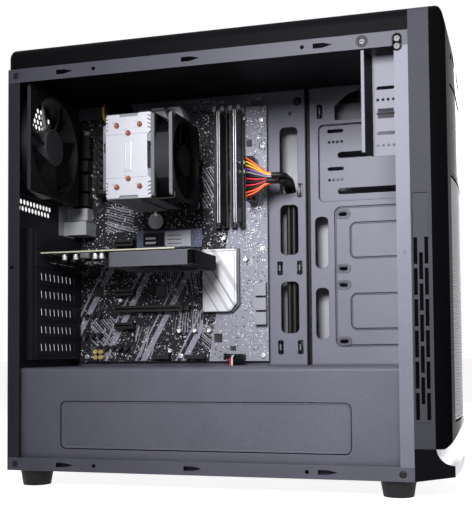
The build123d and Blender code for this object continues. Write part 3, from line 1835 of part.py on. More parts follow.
rocker_half = 5.5
rocker_long = 8
rocker_gap = 0.4
with BuildPart() as psu_inlet:
    inlet_seat = toward_rear(inlet_x, psu_rear, inlet_z)
    with BuildSketch(inlet_seat):
        RectangleRounded(inlet_width, inlet_height, 3)
    extrude(amount=2.4)
    with BuildSketch(inlet_seat):
        Rectangle(inlet_width - 4.6, inlet_height - 4.6)
    extrude(amount=-16)
    with BuildSketch(inlet_seat.offset(2.4)):
        Rectangle(inlet_width - 7, inlet_height - 7)
    extrude(amount=-16, mode=Mode.SUBTRACT)
    for u, v in ((0, -2.5), (-7, 2), (7, 2)):
        with BuildSketch(inlet_seat.offset(-14)):
            with Locations((u, v)):
                Rectangle(2, 4)
        extrude(amount=12)
    switch_seat = toward_rear(switch_x, psu_rear, switch_z)
    with BuildSketch(switch_seat):
        RectangleRounded(switch_width, switch_height, 2)
    extrude(amount=2)
    with BuildSketch(switch_seat):
        Rectangle(switch_width - 4.6, switch_height - 3.6)
    extrude(amount=-12)
    with BuildSketch(switch_seat.offset(2)):
        Rectangle(2 * rocker_long + 2 * rocker_gap - 2, 2 * rocker_half - 1)
    extrude(amount=-12, mode=Mode.SUBTRACT)
    pivot = Plane(origin=(switch_x, psu_rear - 1, switch_z), z_dir=(0, 0, 1))
    rod(pivot, 1 + shaft_clearance, -rocker_half - 0.4, rocker_half + 0.4, mode=Mode.SUBTRACT)
save(psu_inlet, "psu_inlet")

rocker_tilt = 8
with BuildPart() as psu_switch:
    rocker_low = switch_z - rocker_half + 0.5 + rocker_gap
    with BuildSketch(facing_up(rocker_low)):
        with Locations(Location((switch_x, psu_rear - 1), rocker_tilt)):
            Polygon((-6.4, 2), (-6.4, 3.4), (0, 2.4), (6.4, 3.4), (6.4, 2), (3, -3), (-3, -3), align=None)
    extrude(amount=2 * (switch_z - rocker_low))
    rod(pivot, 1, -rocker_half - 0.1, rocker_half + 0.1)
save(psu_switch, "psu_switch")

# Main cable: plug on the board's header, coloured wires, black bundle behind the inner wall to the supply
plug_tall = 12
bundle = 6
bundle_y = ahead(264)
bundle_z = above(header_low + 23)
bundle_x = off_board(header_tall + plug_tall + bundle)
behind_x = tray_x + sheet + 14
supply_x = tray_x - 22
main_hole_y = ahead(204)
main_hole_z = above(76)
with BuildPart() as main_cable:
    chip(header_start, header_start + 10, header_low, header_low + header_length, plug_tall, header_tall)
    route = (
        (bundle_x, bundle_y, bundle_z),
        (bundle_x, ahead(278), bundle_z),
        (behind_x, ahead(278), bundle_z),
        (behind_x, ahead(278), main_hole_z),
        (behind_x, main_hole_y, main_hole_z),
        (supply_x, main_hole_y, main_hole_z),
        (supply_x, psu_front, main_hole_z),
    )
    add(cable(route, bundle, 11))
save(main_cable, "main_cable")

with BuildPart() as main_cable_wires:
    plug_x = off_board(header_tall + plug_tall)
    plug_middle = above(header_low + header_length / 2)
    with BuildSketch(facing_front(ahead(header_start + 3))):
        patch(plug_x - 8, plug_x, plug_middle - header_length / 2 + 2, plug_middle + header_length / 2 - 2)
    with BuildSketch(facing_front(bundle_y)):
        patch(bundle_x - bundle, bundle_x + bundle, bundle_z - bundle, bundle_z + bundle)
    loft()
save(main_cable_wires, "main_cable_wires")

# Processor power cable, up over the board's edge and down behind the inner wall
cpu_wire = 3.5
cpu_plug_y = ahead(cpu_header_start + 9)
cpu_plug_z = above(cpu_header_low + 5)
over_z = above(430)
cpu_hole_y = ahead(175)
cpu_hole_z = above(53)
with BuildPart() as cpu_cable:
    chip(cpu_header_start, cpu_header_start + 18, cpu_header_low, cpu_header_low + 10, plug_tall, header_tall)
    rise_x = off_board(header_tall + plug_tall + 9)
    route = (
        (off_board(header_tall + plug_tall), cpu_plug_y, cpu_plug_z),
        (rise_x, cpu_plug_y, cpu_plug_z),
        (rise_x, cpu_plug_y, over_z),
        (behind_x, cpu_plug_y, over_z),
        (behind_x, cpu_plug_y, cpu_hole_z),
        (behind_x, cpu_hole_y, cpu_hole_z),
        (supply_x, cpu_hole_y, cpu_hole_z),
        (supply_x, psu_front, cpu_hole_z),
    )
    add(cable(route, cpu_wire, 8))
save(cpu_cable, "cpu_cable")

# Leads from the board's lower edge through the cover and the front wall to the front sockets
lead = 2.5
lead_y = ahead(214)
lead_front = front - 12
with BuildPart() as panel_leads:
    chip(204, 224, 117.5, 123.5, 8, 8.5)
    route = (
        (off_board(16.5), lead_y, above(120.5)),
        (off_board(24), lead_y, above(120.5)),
        (off_board(24), lead_y, lead_hole_z),
        (lead_hole_x, lead_y, lead_hole_z),
        (lead_hole_x, lead_front, lead_hole_z),
        (lead_hole_x, lead_front, control_z),
        (lead_hole_x, port_board_y + port_board_thick, control_z),
    )
    add(cable(route, lead, 6))
save(panel_leads, "panel_leads")
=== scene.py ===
import math
from random import Random

import bpy
from mathutils import Matrix, Vector


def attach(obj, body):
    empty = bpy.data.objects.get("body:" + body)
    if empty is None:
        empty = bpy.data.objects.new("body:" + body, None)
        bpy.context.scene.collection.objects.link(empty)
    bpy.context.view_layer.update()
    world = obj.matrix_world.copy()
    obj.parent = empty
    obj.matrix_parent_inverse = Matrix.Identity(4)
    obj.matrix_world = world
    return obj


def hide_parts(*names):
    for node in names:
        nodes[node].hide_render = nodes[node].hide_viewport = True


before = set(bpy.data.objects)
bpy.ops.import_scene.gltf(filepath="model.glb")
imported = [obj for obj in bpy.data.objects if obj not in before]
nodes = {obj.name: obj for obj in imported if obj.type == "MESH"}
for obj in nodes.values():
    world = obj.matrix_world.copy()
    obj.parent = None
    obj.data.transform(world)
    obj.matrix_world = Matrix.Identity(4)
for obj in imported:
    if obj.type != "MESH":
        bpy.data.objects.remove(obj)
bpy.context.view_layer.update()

# Units, and the places that the CAD frame fixes, in mm
mm = 0.001
REAR = 236
FLOOR = 17
BOARD_FACE = 62
BODY = "case"


def ahead(distance):
    """Y of a point that lies a distance ahead of the rear wall."""
    return REAR - distance


def above(height):
    """Z of a point that lies a height above the case floor."""
    return FLOOR + height


def lifted(height):
    """X of a point that stands a height off the main board's face."""
    return BOARD_FACE - height


def tone(red, green, blue):
    """Linear colour from screen values of 0 to 255, by the usual curve of screens."""
    linear = []
    for value in (red, green, blue):
        share = value / 255
        linear.append(share / 12.92 if share <= 0.04045 else ((share + 0.055) / 1.055) ** 2.4)
    return (*linear, 1.0)


# Nodes of materials
def put(tree, value, socket):
    """Links a socket to another one, or sets its plain value."""
    if isinstance(value, bpy.types.NodeSocket):
        tree.links.new(value, socket)
    else:
        socket.default_value = value


def add_node(tree, kind, inputs, **settings):
    """Node with its settings, and with its inputs, by label or number, linked or set."""
    node = tree.nodes.new(kind)
    for label, value in settings.items():
        setattr(node, label, value)
    for label, value in inputs.items():
        put(tree, value, node.inputs[label])
    return node


def add_math(tree, operation, first, second=0.0):
    """Result of a sum on two sockets or plain numbers."""
    return add_node(tree, "ShaderNodeMath", {0: first, 1: second}, operation=operation).outputs[0]


def product(tree, first, *others):
    """Product of several sockets or numbers."""
    for other in others:
        first = add_math(tree, "MULTIPLY", first, other)
    return first


def scaled(tree, colour, factor):
    """Colour times a factor."""
    return add_node(tree, "ShaderNodeVectorMath", {0: colour, "Scale": factor}, operation="SCALE").outputs[0]


def add_noise(tree, vector, scale, detail, rough=0.5):
    """Noise on a vector."""
    inputs = {"Vector": vector, "Scale": scale, "Detail": detail, "Roughness": rough}
    return add_node(tree, "ShaderNodeTexNoise", inputs).outputs["Fac"]


def add_range(tree, value, low, high, out_low, out_high):
    """Value mapped from one span to another, clamped."""
    inputs = {"Value": value, "From Min": low, "From Max": high, "To Min": out_low, "To Max": out_high}
    return add_node(tree, "ShaderNodeMapRange", inputs).outputs["Result"]


def add_mix(tree, factor, first, second):
    """Mix of two colours by a factor."""
    return add_node(tree, "ShaderNodeMix", {0: factor, 6: first, 7: second}, data_type="RGBA").outputs[2]


def object_place(tree):
    """Object coordinates, which are the shared frame's own metres."""
    return tree.nodes.new("ShaderNodeTexCoord").outputs["Object"]


def axes(tree, vector=None):
    """X, Y and Z of a vector, or else of the object's place."""
    place = object_place(tree) if vector is None else vector
    return add_node(tree, "ShaderNodeSeparateXYZ", {0: place}).outputs


def turned(tree, angle):
    """X, Y and Z of the object's place, turned about X."""
    inputs = {"Vector": object_place(tree), "Angle": angle}
    turn = add_node(tree, "ShaderNodeVectorRotate", inputs, rotation_type="X_AXIS")
    return axes(tree, turn.outputs[0])


# Shared effects, each a node group
def new_group(name, inputs, outputs):
    """Node group with its named sockets: its tree, what it is given and what it returns."""
    group = bpy.data.node_groups.new(name, "ShaderNodeTree")
    for label, value in inputs.items():
        kind = "NodeSocketColor" if isinstance(value, tuple) else "NodeSocketFloat"
        group.interface.new_socket(name=label, in_out="INPUT", socket_type=kind).default_value = value
    for label, kind in outputs.items():
        group.interface.new_socket(name=label, in_out="OUTPUT", socket_type=kind)
    start = group.nodes.new("NodeGroupInput")
    end = group.nodes.new("NodeGroupOutput")
    return group, start.outputs, end.inputs


MASK = {"Mask": "NodeSocketFloat"}


def make_grain_group():
    """Fine grain with slow patches: a colour, a roughness and a height that vary over the surface."""
    group, given, result = new_group(
        "surface_grain",
        {"Colour": (0.5, 0.5, 0.5, 1), "Contrast": 0.2, "Scale": 900.0, "Roughness": 0.5, "Spread": 0.1},
        {"Colour": "NodeSocketColor", "Roughness": "NodeSocketFloat", "Height": "NodeSocketFloat"},
    )
    place = object_place(group)
    fine = add_noise(group, place, given["Scale"], 2.0)
    patches = add_noise(group, place, 14.0, 4.0, 0.6)
    both = add_math(group, "ADD", product(group, fine, 0.6), product(group, patches, 0.4))

    def around(middle, reach):
        """Value that strays from a middle one by up to a reach."""
        low = add_math(group, "SUBTRACT", middle, reach)
        return add_range(group, both, 0.3, 0.7, low, add_math(group, "ADD", middle, reach))

    put(group, scaled(group, given["Colour"], around(1.0, given["Contrast"])), result["Colour"])
    put(group, around(given["Roughness"], given["Spread"]), result["Roughness"])
    put(group, fine, result["Height"])
    return group


def make_edge_group():
    """Rounded normal at sharp edges, and a mask of those edges for wear, painted highlight and painted shade
    along them.
    """
    group, given, result = new_group(
        "edge_round", {"Radius": 0.0004}, {"Normal": "NodeSocketVector", "Edge": "NodeSocketFloat"},
    )
    rounded = add_node(group, "ShaderNodeBevel", {"Radius": given["Radius"]}, samples=4).outputs[0]
    flat = group.nodes.new("ShaderNodeNewGeometry").outputs["Normal"]
    dot = add_node(group, "ShaderNodeVectorMath", {0: rounded, 1: flat}, operation="DOT_PRODUCT")
    put(group, rounded, result["Normal"])
    put(group, add_range(group, dot.outputs["Value"], 0.99, 0.75, 0.0, 1.0), result["Edge"])
    return group


def make_nook_group():
    """Shade of corners and grooves: one on open faces, falling to a low value where other faces are near."""
    group, given, result = new_group(
        "nook_shade", {"Reach": 0.006, "Lowest": 0.3}, {"Shade": "NodeSocketFloat"},
    )
    hidden = add_node(group, "ShaderNodeAmbientOcclusion", {"Distance": given["Reach"]}, samples=6)
    put(group, add_range(group, hidden.outputs["AO"], 0.25, 0.85, given["Lowest"], 1.0), result["Shade"])
    return group


def make_area_group():
    """Mask of an upright rectangle, from its rear and front edge and its two heights, in metres."""
    edges = {"Rear": ("LESS_THAN", "Y"), "Front": ("GREATER_THAN", "Y")}
    edges |= {"Low": ("GREATER_THAN", "Z"), "High": ("LESS_THAN", "Z")}
    group, given, result = new_group("area_mask", dict.fromkeys(edges, 0.0), MASK)
    parts = axes(group)
    sides = [add_math(group, test, parts[axis], given[edge]) for edge, (test, axis) in edges.items()]
    put(group, product(group, *sides), result["Mask"])
    return group


def make_pads_group():
    """Scattered square solder pads, as a mask, closer together in some patches than in others."""
    group, given, result = new_group("solder_pads", {"Scale": 420.0, "Size": 0.16, "Share": 0.5}, MASK)
    place = object_place(group)
    inputs = {"Vector": place, "Scale": given["Scale"], "Randomness": 0.8}
    cells = add_node(group, "ShaderNodeTexVoronoi", inputs, distance="CHEBYCHEV").outputs
    chance = add_node(group, "ShaderNodeSeparateColor", {0: cells["Color"]}).outputs[0]
    crowd = product(group, add_noise(group, place, 26.0, 2.0), given["Share"])
    kept = add_math(group, "LESS_THAN", chance, crowd)
    square = add_math(group, "LESS_THAN", cells["Distance"], given["Size"])
    put(group, product(group, kept, square), result["Mask"])
    return group


def make_traces_group():
    """Fine copper lines under the lacquer, running in steps, as a mask."""
    group, given, result = new_group("copper_lines", {"Scale": 90.0, "Turn": 0.785}, MASK)
    parts = turned(group, given["Turn"])
    flat = add_node(group, "ShaderNodeCombineXYZ", {"X": parts["Y"], "Y": parts["Z"]}).outputs[0]
    inputs = {"Vector": flat, "Scale": given["Scale"], "Brick Width": 1.4, "Row Height": 0.14}
    inputs |= {"Mortar Size": 0.035, "Mortar Smooth": 0.3}
    put(group, add_node(group, "ShaderNodeTexBrick", inputs).outputs["Fac"], result["Mask"])
    return group


def make_stripes_group():
    """Parallel bright lines at a slant, some wider than others, as a mask."""
    group, given, result = new_group("line_bundle", {"Turn": 0.0, "Scale": 300.0}, MASK)
    across = product(group, turned(group, given["Turn"])["Y"], given["Scale"])
    wander = add_noise(group, object_place(group), 30.0, 1.0)
    bent = add_math(group, "ADD", across, product(group, wander, 1.6))
    number = {"W": add_math(group, "FLOOR", bent)}
    width = add_node(group, "ShaderNodeTexWhiteNoise", number, noise_dimensions="1D").outputs["Value"]
    ripple = add_math(group, "FRACT", bent)
    put(group, add_math(group, "LESS_THAN", ripple, product(group, width, 0.75)), result["Mask"])
    return group


GRAIN = make_grain_group()
EDGE = make_edge_group()
NOOK = make_nook_group()
AREA = make_area_group()
PADS = make_pads_group()
TRACES = make_traces_group()
STRIPES = make_stripes_group()


def use_group(tree, group, **values):
    """Outputs of a group in a material, its inputs set by name."""
    return add_node(tree, "ShaderNodeGroup", values, node_tree=group).outputs


def grained(tree, colour, rough, contrast, scale, spread):
    """Outputs of the grain group for a colour in screen values."""
    return use_group(
        tree, GRAIN, Colour=tone(*colour), Roughness=rough, Contrast=contrast, Scale=scale, Spread=spread,
    )


def pads(tree, scale, size, share):
    """Mask of scattered pads, from how many there are in a metre, their size and how many are kept."""
    return use_group(tree, PADS, Scale=scale, Size=size, Share=share)["Mask"]


def area(tree, rear, front, low, high):
    """Mask of an upright rectangle, in mm ahead of the rear wall and above the floor."""
    edges = {"Rear": ahead(rear), "Front": ahead(front), "Low": above(low), "High": above(high)}
    return use_group(tree, AREA, **{label: edge * mm for label, edge in edges.items()})["Mask"]


def beyond(tree, value, place):
    """One where a value is beyond a place in mm, or in the span of two places, and zero elsewhere."""
    if isinstance(place, tuple):
        return add_math(tree, "SUBTRACT", *(beyond(tree, value, end) for end in place))
    return add_math(tree, "GREATER_THAN", value, place * mm)


def axis_side(tree, axis, place):
    """Mask of what lies beyond a place along an axis, or within a span of it.

    An axis given as a point, with None for its own direction, is a line through that point. The place is
    then a radius around it.
    """
    if isinstance(axis, str):
        return beyond(tree, axes(tree)[axis], place)
    kept = [0 if part is None else 1 for part in axis]
    flat = add_node(tree, "ShaderNodeVectorMath", {0: object_place(tree), 1: kept}, operation="MULTIPLY")
    inputs = {0: flat.outputs[0], 1: [(part or 0) * mm for part in axis]}
    away = add_node(tree, "ShaderNodeVectorMath", inputs, operation="DISTANCE")
    return beyond(tree, away.outputs["Value"], place)


# Materials
def new_material(name, shine=0.5, metal=0.0, coat=0.0):
    """Material with its tree and its shader, whose plain values are set."""
    material = bpy.data.materials.new(name)
    material.use_nodes = True
    shader = material.node_tree.nodes["Principled BSDF"]
    for label, value in (("Specular IOR Level", shine), ("Metallic", metal), ("Coat Weight", coat)):
        shader.inputs[label].default_value = value
    return material, material.node_tree, shader


def close_material(tree, shader, colour, gloss, height, bump, depth, edge=None):
    """Links a colour, a roughness and a relief, with its depth in mm, to the shader."""
    inputs = {"Height": height, "Strength": bump, "Distance": depth * mm}
    if edge:
        inputs["Normal"] = edge["Normal"]
    relief = add_node(tree, "ShaderNodeBump", inputs).outputs[0]
    for label, value in (("Base Color", colour), ("Roughness", gloss), ("Normal", relief)):
        tree.links.new(value, shader.inputs[label])


BLACK = tone(6, 6, 7)
# How much lighter the default rim is than the colour: a painted highlight along edges, with wear
RIM_GAIN, RIM_LIFT = 1.6, 0.06


def finish(
    name, colour, rough, contrast, scale, spread, bump, depth, radius, rim=0.25, split=None, nook=None,
    discs=(), boxes=(), painted_rim_colour=None, **constants,
):
    """Material with grain, uneven gloss, rounded edges and a painted rim along them: by default lighter, a
    painted highlight with wear, else in a given colour, a painted highlight where that colour is light and
    painted shade where it is dark.

    A split gives an axis, a place along it in mm, and the colour and roughness beyond that place. A nook
    gives how far corners and grooves are shaded, in mm, and what is left of the colour in the deepest of
    them. Each disc is black around a line along X, from its Y, its Z and its radius, and each box is a black
    rectangle.
    """
    material, tree, shader = new_material(name, **constants)
    grain = grained(tree, colour, rough, contrast, scale, spread)
    edge = use_group(tree, EDGE, Radius=radius * mm)
    surface, gloss = grain["Colour"], grain["Roughness"]
    if split:
        axis, place, other, other_rough = split
        side = axis_side(tree, axis, place)
        second = grained(tree, other, other_rough, contrast, scale, spread / 2)
        surface = add_mix(tree, side, surface, second["Colour"])
        gloss = add_range(tree, side, 0.0, 1.0, gloss, second["Roughness"])
    # Painted rim: lighter by default as painted highlight and wear, else the given colour as painted
    # highlight or painted shade
    lighter = tuple(min(1.0, part * RIM_GAIN + RIM_LIFT) for part in tone(*colour)[:3])
    rim_colour = tone(*painted_rim_colour) if painted_rim_colour else (*lighter, 1.0)
    surface = add_mix(tree, product(tree, edge["Edge"], rim), surface, rim_colour)
    for along, up, reach in discs:
        surface = add_mix(tree, axis_side(tree, (None, along, up), reach), BLACK, surface)
    for box in boxes:
        surface = add_mix(tree, area(tree, *box), surface, BLACK)
    if nook:
        shade = use_group(tree, NOOK, Reach=nook[0] * mm, Lowest=nook[1])["Shade"]
        surface = scaled(tree, surface, shade)
    close_material(tree, shader, surface, gloss, grain["Height"], bump, depth, edge)
    return material


# Screw cup in the front column's corner, as three discs, and painted shade as black boxes at the ends of the
# tray's six tie bridges
CORNER_CUP = ((-189.55, 448.4, 5.3), (-189.55, 444.5, 5.3), (-189.55, 440.6, 5.3))
BRIDGE_END_SHADE = tuple(
    (distance - 3.4, distance + 3.4, height + low, height + low + 4.6)
    for distance, height in ((266, 131), (290, 131), (266, 225), (290, 225), (291, 317), (316, 409))
    for low in (-8.0, 3.4)
)
# Painted shade: roof and floor are painted black inwards of the open side's rails
RAIL_INSIDE_SHADE = ("X", -96.6, (10, 10, 12), 0.5)

# Roughness, contrast, scale, spread, bump and depth of painted steel, and the same with more contrast
STEEL = (0.42, 0.14, 800, 0.05, 0.35, 0.06)
STEEL_UNEVEN = (0.42, 0.16, 800, 0.05, 0.35, 0.06)

# Each finish: its colour, then its roughness, contrast, scale, spread, bump, depth and edge radius in mm,
# then what else is its own
FINISHES = {
    # The steel finishes are lit and shaded copies of one black paint: each tone is painted lighter or darker
    # for the light on those parts, the tray, column and bracket lightest and the roof and steel_dark darkest,
    # and their lighter rims are painted highlights
    "steel_shroud": (
        (96, 96, 109), (*STEEL_UNEVEN, 0.6), dict(rim=0.8, nook=(12, 0.35), shine=0.12),
    ),
    "steel_column": (
        (114, 114, 128), (*STEEL, 0.4),
        dict(rim=0.6, nook=(3, 0.5), discs=CORNER_CUP, shine=0.12),
    ),
    # Painted shade: the bracket's side face, from X -96 to -75.3 mm behind its near edge, is painted near
    # black
    "steel_bracket": (
        (120, 120, 132), (*STEEL, 0.4),
        dict(rim=0.6, split=("X", (-96.0, -75.3), (10, 10, 12), 0.5), nook=(6, 0.2), shine=0.08),
    ),
    # Tray: the dark Y span is painted shade in the upright groove, its dark rim is painted shade along
    # pressed lines and cut-outs, and the black boxes are painted shade at the tie bridges' ends
    "steel_tray": (
        (116, 116, 130), (*STEEL, 1.2),
        dict(
            rim=1.0, split=("Y", (-67.8, -61.6), (20, 20, 25), 0.5), nook=(2.6, 0.03),
            discs=((-53, 441, 5.0),), boxes=BRIDGE_END_SHADE, painted_rim_colour=(18, 18, 22), shine=0.12,
        ),
    ),
    "steel_roof": (
        (72, 72, 83), (*STEEL_UNEVEN, 0.5),
        dict(rim=0.9, split=RAIL_INSIDE_SHADE, discs=(*CORNER_CUP, (-155.35, 448.5, 6.3)), shine=0.12),
    ),
    "steel_floor": (
        (87, 87, 99), (*STEEL_UNEVEN, 0.5), dict(rim=0.9, split=RAIL_INSIDE_SHADE, shine=0.12),
    ),
    "steel_side": ((44, 44, 51), (*STEEL, 0.3), dict(shine=0.12)),
    "steel_panel": (
        (158, 158, 166), (*STEEL, 0.3),
        dict(split=("X", 98.2, (44, 44, 51), 0.42), nook=(12, 0.1), shine=0.12),
    ),
    # Painted shade: a darker copy of the steel paint for the rear wall, the slot covers and the power
    # supply's case
    "steel_dark": ((33, 33, 41), (0.5, 0.12, 1400, 0.06, 0.35, 0.06, 0.4), dict(rim=0.5, shine=0.16)),
    "plastic_black": ((15, 15, 18), (0.46, 0.12, 1100, 0.06, 0.5, 0.10, 0.8), dict(shine=0.015)),
    "plastic_bezel": (
        (8, 8, 10), (0.12, 0.12, 1100, 0.04, 0.08, 0.06, 0.8),
        dict(split=("Y", -220.0, (66, 66, 73), 0.45), shine=0.004),
    ),
    "plastic_vent": ((66, 66, 73), (0.5, 0.14, 1000, 0.08, 0.4, 0.08, 0.3), dict(shine=0.03)),
    "screen_black": ((4, 4, 5), (0.7, 0.2, 1600, 0.08, 0.4, 0.08, 0.3), dict(shine=0.02)),
    "gloss_black": ((12, 12, 14), (0.12, 0.2, 300, 0.04, 0.03, 0.03, 0.5), dict(coat=0.6)),
    "silver_mesh": ((176, 178, 184), (0.34, 0.12, 1800, 0.08, 0.2, 0.04, 0.2), dict(metal=0.7)),
    "silver_trim": ((206, 208, 214), (0.30, 0.08, 1200, 0.06, 0.1, 0.03, 0.6), dict(metal=0.35)),
    "foot_rubber": ((24, 24, 27), (0.62, 0.2, 700, 0.1, 0.4, 0.12, 0.8), dict(shine=0.25)),
    "screw_steel": ((214, 214, 218), (0.28, 0.12, 2500, 0.1, 0.1, 0.02, 0.2), dict(metal=0.8)),
    "screw_grey": ((104, 104, 110), (0.4, 0.15, 2500, 0.1, 0.1, 0.02, 0.2), dict(nook=(1.5, 0.1), shine=0.3)),
    "screw_black": ((20, 20, 22), (0.4, 0.2, 2500, 0.1, 0.1, 0.02, 0.2), dict(shine=0.3)),
    "brass_post": ((196, 160, 92), (0.3, 0.15, 2000, 0.1, 0.1, 0.02, 0.2), dict(metal=1.0)),
    "socket_metal": ((186, 188, 194), (0.32, 0.12, 1500, 0.1, 0.1, 0.03, 0.2), dict(metal=0.7)),
    "port_metal": (
        (176, 178, 184), (0.36, 0.12, 1500, 0.1, 0.1, 0.03, 0.2),
        dict(split=("Z", 323.8, (17, 17, 20), 0.42), shine=0.3),
    ),
    "header_black": (
        (150, 150, 160), (0.45, 0.15, 1500, 0.08, 0.15, 0.03, 0.2),
        dict(split=("Y", -1.6, (18, 18, 20), 0.45), nook=(3, 0.3), shine=0.3),
    ),
    "sink_white": ((222, 223, 230), (0.34, 0.05, 1600, 0.06, 0.2, 0.03, 0.4), {}),
    "sink_dark": ((84, 86, 92), (0.4, 0.12, 1500, 0.06, 0.2, 0.03, 0.4), dict(metal=0.3)),
    "sink_black": ((30, 30, 34), (0.4, 0.15, 1500, 0.06, 0.2, 0.03, 0.4), dict(rim=0.5, shine=0.3)),
    "fin_metal": ((120, 121, 126), (0.34, 0.1, 1800, 0.08, 0.1, 0.02, 0.15), dict(metal=0.9)),
    "plate_metal": ((188, 189, 197), (0.3, 0.05, 1800, 0.06, 0.1, 0.02, 0.3), dict(metal=0.35)),
    "pipe_copper": ((164, 108, 86), (0.4, 0.25, 900, 0.08, 0.1, 0.03, 0.3), dict(metal=0.8)),
    "connector_black": ((18, 18, 20), (0.45, 0.2, 1500, 0.08, 0.15, 0.03, 0.2), dict(shine=0.3)),
    "slot_black": (
        (18, 18, 20), (0.45, 0.15, 1500, 0.08, 0.15, 0.03, 0.2),
        dict(split=("Z", 428.5, (150, 150, 157), 0.42), shine=0.3),
    ),
    "module_black": ((14, 14, 17), (0.36, 0.15, 1500, 0.08, 0.15, 0.03, 0.3), dict(shine=0.25)),
    "graphics_black": (
        (196, 194, 172), (0.4, 0.2, 1500, 0.08, 0.15, 0.03, 0.2),
        dict(split=("X", -49.2, (20, 20, 23), 0.42), shine=0.3),
    ),
    # Graphics cooler: painted shade keeps its front end black up to Y 46 mm, the grey beyond is its own
    # colour, and its near-white rim is a painted highlight along the edges
    "card_grey": (
        (12, 12, 14), (0.45, 0.15, 1500, 0.06, 0.2, 0.03, 0.8),
        dict(rim=0.9, split=("Y", 46, (98, 99, 107), 0.36), nook=(5, 0.4), painted_rim_colour=(205, 205, 212), shine=0.01),
    ),
    "fan_black": ((18, 18, 21), (0.42, 0.15, 1300, 0.06, 0.2, 0.04, 0.4), dict(shine=0.3)),
    "fan_hub": (
        (62, 62, 68), (0.42, 0.15, 1300, 0.06, 0.2, 0.04, 0.4),
        dict(split=((-36, None, 381), 21.5, (10, 10, 12), 0.4), shine=0.25),
    ),
    "fan_dark": ((9, 9, 11), (0.5, 0.15, 1300, 0.06, 0.2, 0.04, 0.4), dict(shine=0.05)),
    "cable_black": ((16, 16, 18), (0.5, 0.2, 1500, 0.08, 0.2, 0.05, 0.2), dict(shine=0.3)),
    "inlet_black": ((24, 24, 26), (0.45, 0.15, 1300, 0.08, 0.2, 0.04, 0.3), {}),
    "latch_white": ((150, 150, 157), (0.42, 0.08, 1500, 0.06, 0.1, 0.03, 0.2), {}),
    "can_silver": ((226, 226, 230), (0.26, 0.08, 2200, 0.08, 0.1, 0.02, 0.2), dict(metal=0.5)),
    "can_gold": ((226, 200, 132), (0.3, 0.1, 2200, 0.08, 0.1, 0.02, 0.2), dict(metal=0.5)),
    "ferrite_grey": ((88, 88, 92), (0.5, 0.2, 1600, 0.08, 0.2, 0.04, 0.2), {}),
    "chip_black": ((34, 34, 37), (0.48, 0.15, 1800, 0.06, 0.15, 0.03, 0.15), dict(shine=0.3)),
    "cell_metal": ((132, 132, 136), (0.34, 0.1, 1800, 0.08, 0.1, 0.02, 0.2), dict(metal=0.3)),
    "solder_bright": ((214, 214, 218), (0.3, 0.15, 2500, 0.1, 0.1, 0.02, 0.1), dict(metal=0.6)),
    "ceramic_tan": ((150, 130, 104), (0.5, 0.2, 2500, 0.1, 0.1, 0.02, 0.1), {}),
}
WIRE_SURFACE = (0.4, 0.1, 1800, 0.06, 0.15, 0.04, 0.1)
WIRE_COLOURS = {
    "orange": (236, 96, 44), "yellow": (232, 182, 44), "red": (208, 34, 54), "purple": (118, 70, 156),
    "blue": (54, 66, 160), "green": (44, 122, 70), "white": (220, 220, 226), "grey": (128, 128, 134),
}
FINISH = {name: finish(name, colour, *surface, **own) for name, (colour, surface, own) in FINISHES.items()}
WIRE = {shade: finish(f"wire_{shade}", colour, *WIRE_SURFACE) for shade, colour in WIRE_COLOURS.items()}
WIRE["black"] = FINISH["cable_black"]

# Bars of the controller's sink: where each starts and ends along the slant, in mm, and its grey
SINK_SLANT = 1.6
SINK_BARS = ((122, 125, 176), (141, 148, 196), (160, 164, 160), (182, 192, 190))


def make_sink_bars():
    """Pale lacquer with slanted grey bars."""
    material, tree, shader = new_material("sink_bars")
    grain = grained(tree, (230, 231, 237), 0.34, 0.05, 1600, 0.06)
    parts = axes(tree)
    slant = add_math(tree, "SUBTRACT", parts["Z"], product(tree, parts["Y"], SINK_SLANT))
    colour = grain["Colour"]
    for low, high, grey in SINK_BARS:
        colour = add_mix(tree, beyond(tree, slant, (low, high)), colour, tone(grey, grey, grey + 6))
    edge = use_group(tree, EDGE, Radius=0.4 * mm)
    close_material(tree, shader, colour, grain["Roughness"], grain["Height"], 0.2, 0.03, edge)
    return material


def make_fan_grey():
    """Black fan frame with painted highlights: its two flange edges on the open side lighter grey, and all of
    it nearer the open side than X -62 mm a little lighter.
    """
    material, tree, shader = new_material("fan_grey", shine=0.08)
    dark = grained(tree, (12, 12, 14), 0.46, 0.15, 1300, 0.06)
    light = grained(tree, (112, 113, 121), 0.4, 0.1, 1300, 0.06)
    flanges = add_math(tree, "ADD", axis_side(tree, "Y", 75.4), axis_side(tree, "Y", (54.8, 58.6)))
    near = add_math(tree, "SUBTRACT", 1.0, axis_side(tree, "X", -67.5))
    barrel = add_math(tree, "SUBTRACT", 1.0, axis_side(tree, "X", -62.0))
    # Painted highlight mask: full on the flange edges, weak on the rest of the frame's near part
    mask = add_math(tree, "MAXIMUM", product(tree, near, flanges), product(tree, barrel, 0.16))
    colour = add_mix(tree, mask, dark["Colour"], light["Colour"])
    edge = use_group(tree, EDGE, Radius=0.4 * mm)
    close_material(tree, shader, colour, dark["Roughness"], dark["Height"], 0.2, 0.04, edge)
    return material


# Bundles of copper lines: their slant, then the rectangle that they fill
LINE_BUNDLES = (
    (0.5, 172, 190, 300, 350), (-1.85, 46, 82, 276, 308), (0.12, 118, 168, 196, 236),
    (-0.12, 130, 172, 150, 176), (0.7, 24, 58, 120, 168), (-0.3, 84, 108, 120, 158),
    (0.9, 170, 226, 118, 160),
)


